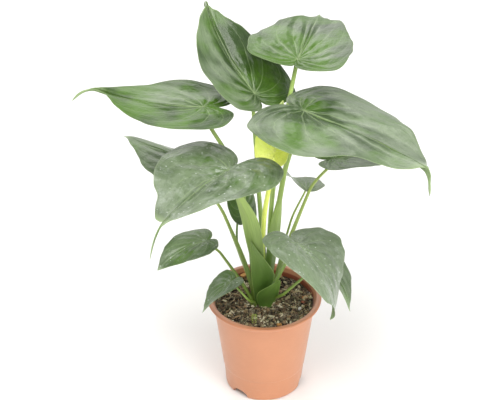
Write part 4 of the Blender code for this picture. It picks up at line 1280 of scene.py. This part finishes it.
def soil_material():
    """Damp peat: near black in its hollows, which is painted shade as well as darker peat at random, brown on
    its crumbs, with a few tan, rust and mossy specks.
    """
    soil = bpy.context.scene.alocasia_soil
    r = Recipe("damp peat")
    where = r.place()
    height = r.node("ShaderNodeSeparateXYZ", {"Vector": where}).outputs["Z"]
    # Painted shade: below the crumbs' tops the soil goes to the dark colour, and a noise adds darker peat at
    # random
    tone = r.times(r.step(height, 0.1405, 0.1475), r.step(r.noise(where, 420.0, 5.0, 0.7), 0.3, 0.72))
    colour = r.mix(tone, tuple(soil.dark), tuple(soil.light))
    distance, own = r.cells(where, 420.0)
    for channel, low, high, amount, speck in (
            (0, 0.80, 0.86, 0.55, (0.20, 0.105, 0.055)), (1, 0.91, 0.95, 0.6, (0.32, 0.24, 0.15)),
            (2, 0.94, 0.97, 0.5, (0.17, 0.19, 0.10))):
        colour = r.mix(r.times(r.step(own[channel], low, high), amount), colour, speck)
    fine = r.bump(r.noise(where, 1500.0, 4.0, 0.7), 0.0006, 0.9)
    return r.finish(colour, 0.93, r.bump(distance, 0.001, 0.7, fine), Specular_IOR_Level=0.25)


def litter_material(name, tones, roughness=0.85):
    """Loose bits whose tone value, from 0 to 1, picks a place on a ramp of colours, with fine dark grain."""
    r = Recipe(name)
    tone = r.value("tone")
    colour = tones[0]
    steps = len(tones) - 1
    for number, after in enumerate(tones[1:]):
        colour = r.mix(r.step(tone, number / steps, (number + 0.35) / steps), colour, after)
    grain = r.noise(r.place(), 900.0, 4.0, 0.65)
    colour = r.mix(r.times(r.step(grain, 0.42, 0.66), 0.6), colour, (0.28, 0.24, 0.21), "MULTIPLY")
    return r.finish(colour, roughness, r.bump(grain, 0.0006, 0.8), Specular_IOR_Level=0.3)


def on_soil(rng, count, inner=17.0, outer=71.0):
    """Random places on the soil between two radii from the pot's axis, and the soil's height there."""
    angle = rng.uniform(0, 2 * math.pi, count)
    radius = np.sqrt(rng.uniform((inner / outer) ** 2, 1.0, count)) * outer
    x, y = radius * np.cos(angle), radius * np.sin(angle)
    return np.stack([x, y, SOIL_TOP + crumb_height(x, y)], -1)


def frames(rng, count, tilt):
    """Random sets of three axes, turned freely about the upright and tilted by up to an angle in radians.

    The first axis leans by one random angle, and the second is made square to it after it swings by
    another. The third is their cross product.
    """
    turn = rng.uniform(0, 2 * math.pi, count)
    lean, swing = rng.uniform(-tilt, tilt, count), rng.uniform(-tilt, tilt, count)
    a = np.stack([np.cos(turn) * np.cos(lean), np.sin(turn) * np.cos(lean), np.sin(lean)], -1)
    b = np.stack([-np.sin(turn), np.cos(turn), np.tan(swing)], -1)
    b -= (a * b).sum(1, keepdims=True) * a
    b /= np.linalg.norm(b, axis=1, keepdims=True)
    return a, b, np.cross(a, b)


def placed(shape, axes, places):
    """Points of many small bodies: each one's own (body, point, 3), laid along its axes at its place."""
    return places[:, None] + sum(shape[..., k:k + 1] * axes[k][:, None] for k in range(3))


def litter_piece(name, points, faces, material, tones):
    """Piece of many small bodies with the same faces, from their points (body, point, 3) and tones."""
    count, each = points.shape[:2]
    made = (faces + each * np.arange(count)[:, None, None]).reshape(-1, faces.shape[1])
    return add_piece(
        name, points.reshape(-1, 3) * MM, [made], material, (), {"tone": np.repeat(tones, each)})


def chips_piece(material, name, places, sizes, tones, seed, tilt=0.5):
    """Bark chips: bricks with every corner moved at random, one brick at each place.

    sizes holds a length, a width and a thickness for each place.
    """
    rng = np.random.default_rng(seed)
    count = len(places)
    shape = BRICK_POINTS * sizes[:, None, :] / 2
    shape = shape * rng.uniform(0.45, 1.0, (count, 8, 3))
    points = placed(shape, frames(rng, count, tilt), places)
    piece = litter_piece(name, points, BRICK_FACES, material, tones)
    piece.data.shade_flat()
    return piece


def lumps_piece(material, name, places, sizes, tones, seed):
    """Grains: twenty-sided lumps with every corner moved at random, one at each place."""
    rng = np.random.default_rng(seed)
    count = len(places)
    shape = LUMP_POINTS * sizes[:, None, :] * rng.uniform(0.7, 1.1, (count, 12, 1))
    return litter_piece(name, placed(shape, frames(rng, count, 0.6), places), LUMP_FACES, material, tones)


def fibres_piece(material, name, places, lengths, radii, tones, seed):
    """Fibres: square tubes of seven sections along curved lines, one over each place.

    From -0.5 to 0.5 of its length, a line bows sideways by a parabola, wags by a sine and arches up a
    little by another parabola. The tube is thickest in the middle.
    """
    rng = np.random.default_rng(seed)
    count = len(places)
    a, b, c = (axis[:, None] for axis in frames(rng, count, 0.25))
    s = np.linspace(-0.5, 0.5, FIBRE_SECTIONS)[None, :, None]
    bow = rng.uniform(-0.35, 0.35, (count, 1, 1))
    wag = rng.uniform(-0.12, 0.12, (count, 1, 1))
    length = lengths[:, None, None]
    line = (
        places[:, None] + length * s * a + length * bow * (s * s * 4 - 0.3) * b
        + length * wag * np.sin(6 * s) * b + length * 0.10 * (1 - 4 * s * s) * c)
    turn = np.array([0.25, 0.75, 1.25, 1.75])[:, None] * math.pi
    taper = radii[:, None, None, None] * (1.05 - 1.4 * np.abs(s))[..., None]
    ring = np.cos(turn) * b[:, None] + np.sin(turn) * c[:, None]
    points = (line[:, :, None] + taper * ring).reshape(count, -1, 3)
    last = 4 * (FIBRE_SECTIONS - 1)
    faces = np.concatenate([
        grid_quads(FIBRE_SECTIONS, 4), [(3, 2, 1, 0)], [(last, last + 1, last + 2, last + 3)]])
    return litter_piece(name, points, faces, material, tones)


def fern_piece(material):
    """Tiny fern sprig: pointed leaflets in pairs along a bent rib, each a flat four-sided lens.

    The rib rises by a sine. A leaflet's length is a sine of the way along the rib and 0.8 mm more.
    """
    root = np.array([-15.0, -58.0, SOIL_TOP + 1.0])
    s = np.linspace(0.0, 1.0, LEAFLET_PAIRS)
    line = root + np.stack([-2.0 * s + 3.0 * s * s, 9.0 * s, 13.0 * np.sin(1.7 * s)], -1)
    size = 6.0 * np.sin(math.pi * np.clip(0.18 + 0.8 * s, 0, 1)) + 0.8
    wide = np.array([0.0, 0.5, 0.6])
    thick = np.array([0.0, 0.0, 0.22])
    sides = []
    for sign in (-1.0, 1.0):
        tip = line + size[:, None] * np.array([0.85 * sign, 0.1, 0.5])
        middle = 0.65 * line + 0.35 * tip
        edges = [line, middle + sign * wide, tip, middle - sign * wide]
        sides.append(np.stack([*edges, middle + thick, middle - thick], 1))
    faces = np.array([(0, 3, 4), (3, 2, 4), (2, 1, 4), (1, 0, 4), (3, 0, 5), (2, 3, 5), (1, 2, 5), (0, 1, 5)])
    tones = np.tile(np.linspace(0.9, 0.2, LEAFLET_PAIRS), 2)
    return litter_piece("fern_sprig", np.concatenate(sides), faces, material, tones)


def crown_material():
    """Brown bark of the hidden crown, with rings of leaf scars."""
    r = Recipe("crown bark")
    rings = r.noise(r.scaled(r.place(), (90.0, 90.0, 700.0)), 1.0, 4.0)
    colour = r.mix(r.step(rings, 0.35, 0.7), (0.05, 0.032, 0.02), (0.17, 0.11, 0.062))
    return r.finish(colour, 0.88, r.bump(rings, 0.0012, 0.8), Specular_IOR_Level=0.3)


def patchy(tones, places, spread, shift, seed):
    """Tones moved by slow noise of the place, so that like ones lie together, and kept from 0 to 1."""
    drift = lattice_noise(places[:, 0] / spread + shift, places[:, 1] / spread + shift, seed)
    return np.clip(tones + 0.5 * drift, 0.0, 1.0)


def scatter_bark(count):
    """Bark chips all over the soil, most of them small: sizes are 1.5 mm and a beta spread up to 10 mm."""
    bark = litter_material("bark chips", (
        (0.024, 0.017, 0.012), (0.16, 0.11, 0.07), (0.40, 0.27, 0.16), (0.56, 0.49, 0.31),
        (0.92, 0.83, 0.62)))
    rng = np.random.default_rng(11)
    places = on_soil(rng, count, inner=10.0)
    size = 1.5 + 8.5 * rng.beta(1.2, 4.2, count)
    sizes = np.stack([
        size * rng.uniform(0.9, 1.9, count), size * rng.uniform(0.4, 0.9, count),
        size * rng.uniform(0.25, 0.5, count)], -1)
    places[:, 2] += 0.15 * size
    chips_piece(bark, "bark_chips", places, sizes, patchy(rng.beta(0.9, 1.2, count), places, 13, 30, 14), 12)


def scatter_rust():
    """Five rust-coloured chips, each at its own place, height above the soil and size."""
    rust = litter_material("rust chips", ((0.36, 0.13, 0.075), (0.62, 0.30, 0.10), (0.74, 0.40, 0.15)))
    places = np.array([
        (-29.0, 63.0, 5.0), (61.0, 8.0, 2.6), (22.0, -59.0, 2.4), (57.0, -4.0, 2.2), (-47.0, 31.0, 2.2)])
    places[:, 2] += SOIL_TOP
    sizes = np.array([(18, 10, 4), (12, 7, 4), (9, 6, 3), (7, 5, 3), (8, 5, 3)], float)
    chips_piece(rust, "rust_chips", places, sizes, np.array([0.9, 0.1, 0.2, 0.0, 0.35]), 15, 0.3)


def scatter_fibres(count):
    """Fibres all over the soil, 3 to 17 mm long, with four thick pale ones on the left."""
    straw = litter_material("fibres", (
        (0.10, 0.065, 0.045), (0.30, 0.21, 0.13), (0.29, 0.31, 0.18), (0.62, 0.50, 0.32)))
    rng = np.random.default_rng(21)
    places = on_soil(rng, count, outer=69.0)
    places[:, 2] += 0.7
    lengths, radii = 3.0 + 14.0 * rng.beta(1.1, 3.5, count), rng.uniform(0.12, 0.50, count)
    tones = patchy(rng.uniform(0.0, 1.0, count), places, 15, 70, 24)
    places[:4] = [(-41, 10, 147.5), (-46, -2, 147), (-38, 17, 147.5), (-50, 8, 147)]
    lengths[:4], radii[:4], tones[:4] = (23.0, 16.0, 18.0, 14.0), 0.75, 1.0
    fibres_piece(straw, "fibres", places, lengths, radii, tones, 22)


def scatter_grains(count):
    """White grains all over the soil, most of them under 1 mm, and one large one on the right."""
    white = litter_material("white grains", ((0.42, 0.40, 0.36), (0.74, 0.73, 0.70)), 0.9)
    rng = np.random.default_rng(31)
    places = on_soil(rng, count)
    size = 0.35 + 1.2 * rng.beta(1.0, 4.0, count)
    sizes = size[:, None] * rng.uniform(0.7, 1.2, (count, 3))
    places[-1] = (52.0, -21.0, SOIL_TOP + 3.4)
    sizes[-1] = (4.6, 3.6, 3.0)
    lumps_piece(white, "white_grains", places, sizes, rng.uniform(0, 1, count), 32)


def add_camera(stage):
    """Camera in front of the plant, looking down at the photograph's angle."""
    data = bpy.data.cameras.new("Camera")
    data.lens = stage.focal
    data.sensor_width = 36.0
    data.clip_end = 50.0
    camera = bpy.data.objects.new("Camera", data)
    camera.location = (-0.02125, -1.99511, 1.63016)
    camera.rotation_euler = (math.pi / 2 - stage.tilt, 0.0, 0.0)
    bpy.context.scene.collection.objects.link(camera)
    bpy.context.scene.camera = camera


def add_floor():
    """Pale matt floor, a flat grid of 8 by 8 m."""
    mesh = bpy.data.meshes.new("floor")
    steps = np.linspace(-4.0, 4.0, 9)
    x, y = np.meshgrid(steps, steps)
    grid = np.stack([x, y, 0 * x], -1).reshape(-1, 3)
    mesh.from_pydata(grid.tolist(), [], [tuple(f) for f in grid_quads(9, 9, wrap_columns=False)])
    floor = bpy.data.objects.new("floor", mesh)
    bpy.context.scene.collection.objects.link(floor)
    r = Recipe("pale floor")
    colour = r.mix(r.noise(r.place(), 3.0, 2.0), (0.90, 0.90, 0.90), (0.92, 0.92, 0.92))
    mesh.materials.append(r.finish(colour, 0.75, Specular_IOR_Level=0.2))


def add_lights(stage):
    """White sky, and three round lamps, above, in front and behind, that face a point 0.3 m up the plant."""
    scene = bpy.context.scene
    world = bpy.data.worlds.new("studio")
    scene.world = world
    world.use_nodes = True
    background = world.node_tree.nodes["Background"]
    background.inputs["Color"].default_value = (1.0, 1.0, 1.0, 1.0)
    background.inputs["Strength"].default_value = stage.sky
    for name, place, size, power in (
            ("key", (-0.45, -0.95, 3.00), 2.2, stage.key), ("fill", (1.25, -1.40, 1.30), 1.6, stage.fill),
            ("back", (-0.2, 1.7, 1.45), 1.6, stage.back)):
        lamp = bpy.data.lights.new(name, "AREA")
        lamp.shape = "DISK"
        lamp.size = size
        lamp.energy = power
        lamp.color = (1.0, 0.985, 0.96)
        made = bpy.data.objects.new(name, lamp)
        made.location = place
        aim = Vector((0.0, 0.0, 0.3)) - Vector(place)
        made.rotation_euler = aim.to_track_quat("-Z", "Y").to_euler()
        scene.collection.objects.link(made)


class MESH_OT_alocasia_pot(bpy.types.Operator):
    """Build the pot"""

    bl_idname = "mesh.alocasia_pot"
    bl_label = "Pot"

    def execute(self, context):
        pot_piece(pot_material())
        return {"FINISHED"}


class MESH_OT_alocasia_soil(bpy.types.Operator):
    """Build the bed of soil and finish the crown under it"""

    bl_idname = "mesh.alocasia_soil"
    bl_label = "Soil"

    def execute(self, context):
        soil_piece(soil_material())
        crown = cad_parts["crown"]
        crown.data.materials.clear()
        crown.data.materials.append(crown_material())
        return {"FINISHED"}


class MESH_OT_alocasia_litter(bpy.types.Operator):
    """Scatter bark and rust chips, fibres and white grains on the soil, and set the fern sprig in it"""

    bl_idname = "mesh.alocasia_litter"
    bl_label = "Chips, fibres, grains and sprig"

    def execute(self, context):
        soil = context.scene.alocasia_soil
        scatter_bark(soil.chips)
        scatter_rust()
        scatter_fibres(soil.fibres)
        scatter_grains(soil.grains)
        fern_piece(litter_material("fern", ((0.22, 0.32, 0.05), (0.44, 0.56, 0.12)), 0.6))
        return {"FINISHED"}


class MESH_OT_alocasia_stalks(bpy.types.Operator):
    """Build every stalk with its sheaths"""

    bl_idname = "mesh.alocasia_stalks"
    bl_label = "Stalks"

    def execute(self, context):
        look = context.scene.alocasia_leaf
        top, base = tuple(look.stalk), tuple(look.base)
        green = stalk_material("stalk green", top, base)
        pale = stalk_material("pale stalk", tuple(min(1.0, 1.3 * c + 0.03) for c in top), base)
        young = stalk_material("young stalk", (0.86, 0.95, 0.18), (0.60, 0.76, 0.15), 0.12)
        # Painted light: a lighter copy of the stalk greens for the leaves round the outside
        outer = stalk_material("outer stalk", (0.41, 0.52, 0.14), (0.19, 0.30, 0.045))
        special = {"new": young, "top_left": pale, "top_right": pale}
        for leaf in LEAVES:
            stalk_piece(leaf, special.get(leaf["name"], outer if leaf["name"] in OUTER else green))
        return {"FINISHED"}


class MESH_OT_alocasia_blades(bpy.types.Operator):
    """Build every leaf blade"""

    bl_idname = "mesh.alocasia_blades"
    bl_label = "Blades"

    def execute(self, context):
        look = context.scene.alocasia_leaf
        vein = tuple(look.vein)
        green = tuple(look.dark), tuple(look.light), vein
        # Painted light: a lighter copy of the blade greens for the leaves round the outside
        painted_lighter_green = (0.036, 0.086, 0.008), (0.098, 0.215, 0.013), vein
        yellow = (0.74, 0.87, 0.10), (0.90, 0.97, 0.20), (0.88, 0.95, 0.30)
        by_place = {
            (False, False): leaf_material("leaf green", *green),
            (False, True): leaf_material("leaf green with dust", *green, dust=0.9),
            (True, False): leaf_material("lighter leaf green", *painted_lighter_green),
            (True, True): leaf_material("lighter leaf green with dust", *painted_lighter_green, dust=0.9),
        }
        special = {
            "new": leaf_material("young leaf", *yellow, gloss=0.36, end=(0.20, 0.29, 0.10)),
            "left": leaf_material("duller leaf green", *green, shine=0.6),
        }
        for leaf in LEAVES:
            name = leaf["name"]
            blade_piece(leaf, special.get(name, by_place[name in OUTER, name in DUSTY]))
        return {"FINISHED"}


class SCENE_OT_alocasia_stage(bpy.types.Operator):
    """Set up the camera, the pale floor and the soft lights"""

    bl_idname = "scene.alocasia_stage"
    bl_label = "Camera, floor and lights"

    def execute(self, context):
        stage = context.scene.alocasia_stage
        add_camera(stage)
        add_floor()
        add_lights(stage)
        context.scene.view_settings.view_transform = "Standard"
        return {"FINISHED"}


class VIEW3D_PT_alocasia(bpy.types.Panel):
    """Lists the pieces and their settings"""

    bl_label = "Potted alocasia"
    bl_idname = "VIEW3D_PT_alocasia"
    bl_space_type = "VIEW_3D"
    bl_region_type = "UI"
    bl_category = "Alocasia"

    def draw(self, context):
        for operator in OPERATORS:
            self.layout.operator(operator.bl_idname)
        for name, kind in GROUPS.items():
            box = self.layout.box()
            for key in kind.__annotations__:
                box.prop(getattr(context.scene, name), key)


GROUPS = {
    "alocasia_pot": AlocasiaPot, "alocasia_soil": AlocasiaSoil, "alocasia_leaf": AlocasiaLeaf,
    "alocasia_stage": AlocasiaStage}
OPERATORS = (
    MESH_OT_alocasia_pot, MESH_OT_alocasia_soil, MESH_OT_alocasia_litter, MESH_OT_alocasia_stalks,
    MESH_OT_alocasia_blades, SCENE_OT_alocasia_stage)


def register():
    """Register the classes and put the settings on the scene."""
    for name, group in GROUPS.items():
        bpy.utils.register_class(group)
        setattr(bpy.types.Scene, name, PointerProperty(type=group))
    for kind in OPERATORS:
        bpy.utils.register_class(kind)
    bpy.utils.register_class(VIEW3D_PT_alocasia)


def unregister():
    """Undo register."""
    bpy.utils.unregister_class(VIEW3D_PT_alocasia)
    for kind in reversed(OPERATORS):
        bpy.utils.unregister_class(kind)
    for name, group in reversed(GROUPS.items()):
        delattr(bpy.types.Scene, name)
        bpy.utils.unregister_class(group)


def main():
    register()
    bpy.ops.scene.alocasia_stage()
    bpy.ops.mesh.alocasia_pot()
    bpy.ops.mesh.alocasia_soil()
    bpy.ops.mesh.alocasia_litter()
    bpy.ops.mesh.alocasia_stalks()
    bpy.ops.mesh.alocasia_blades()
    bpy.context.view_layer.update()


if __name__ == "__main__":
    main()
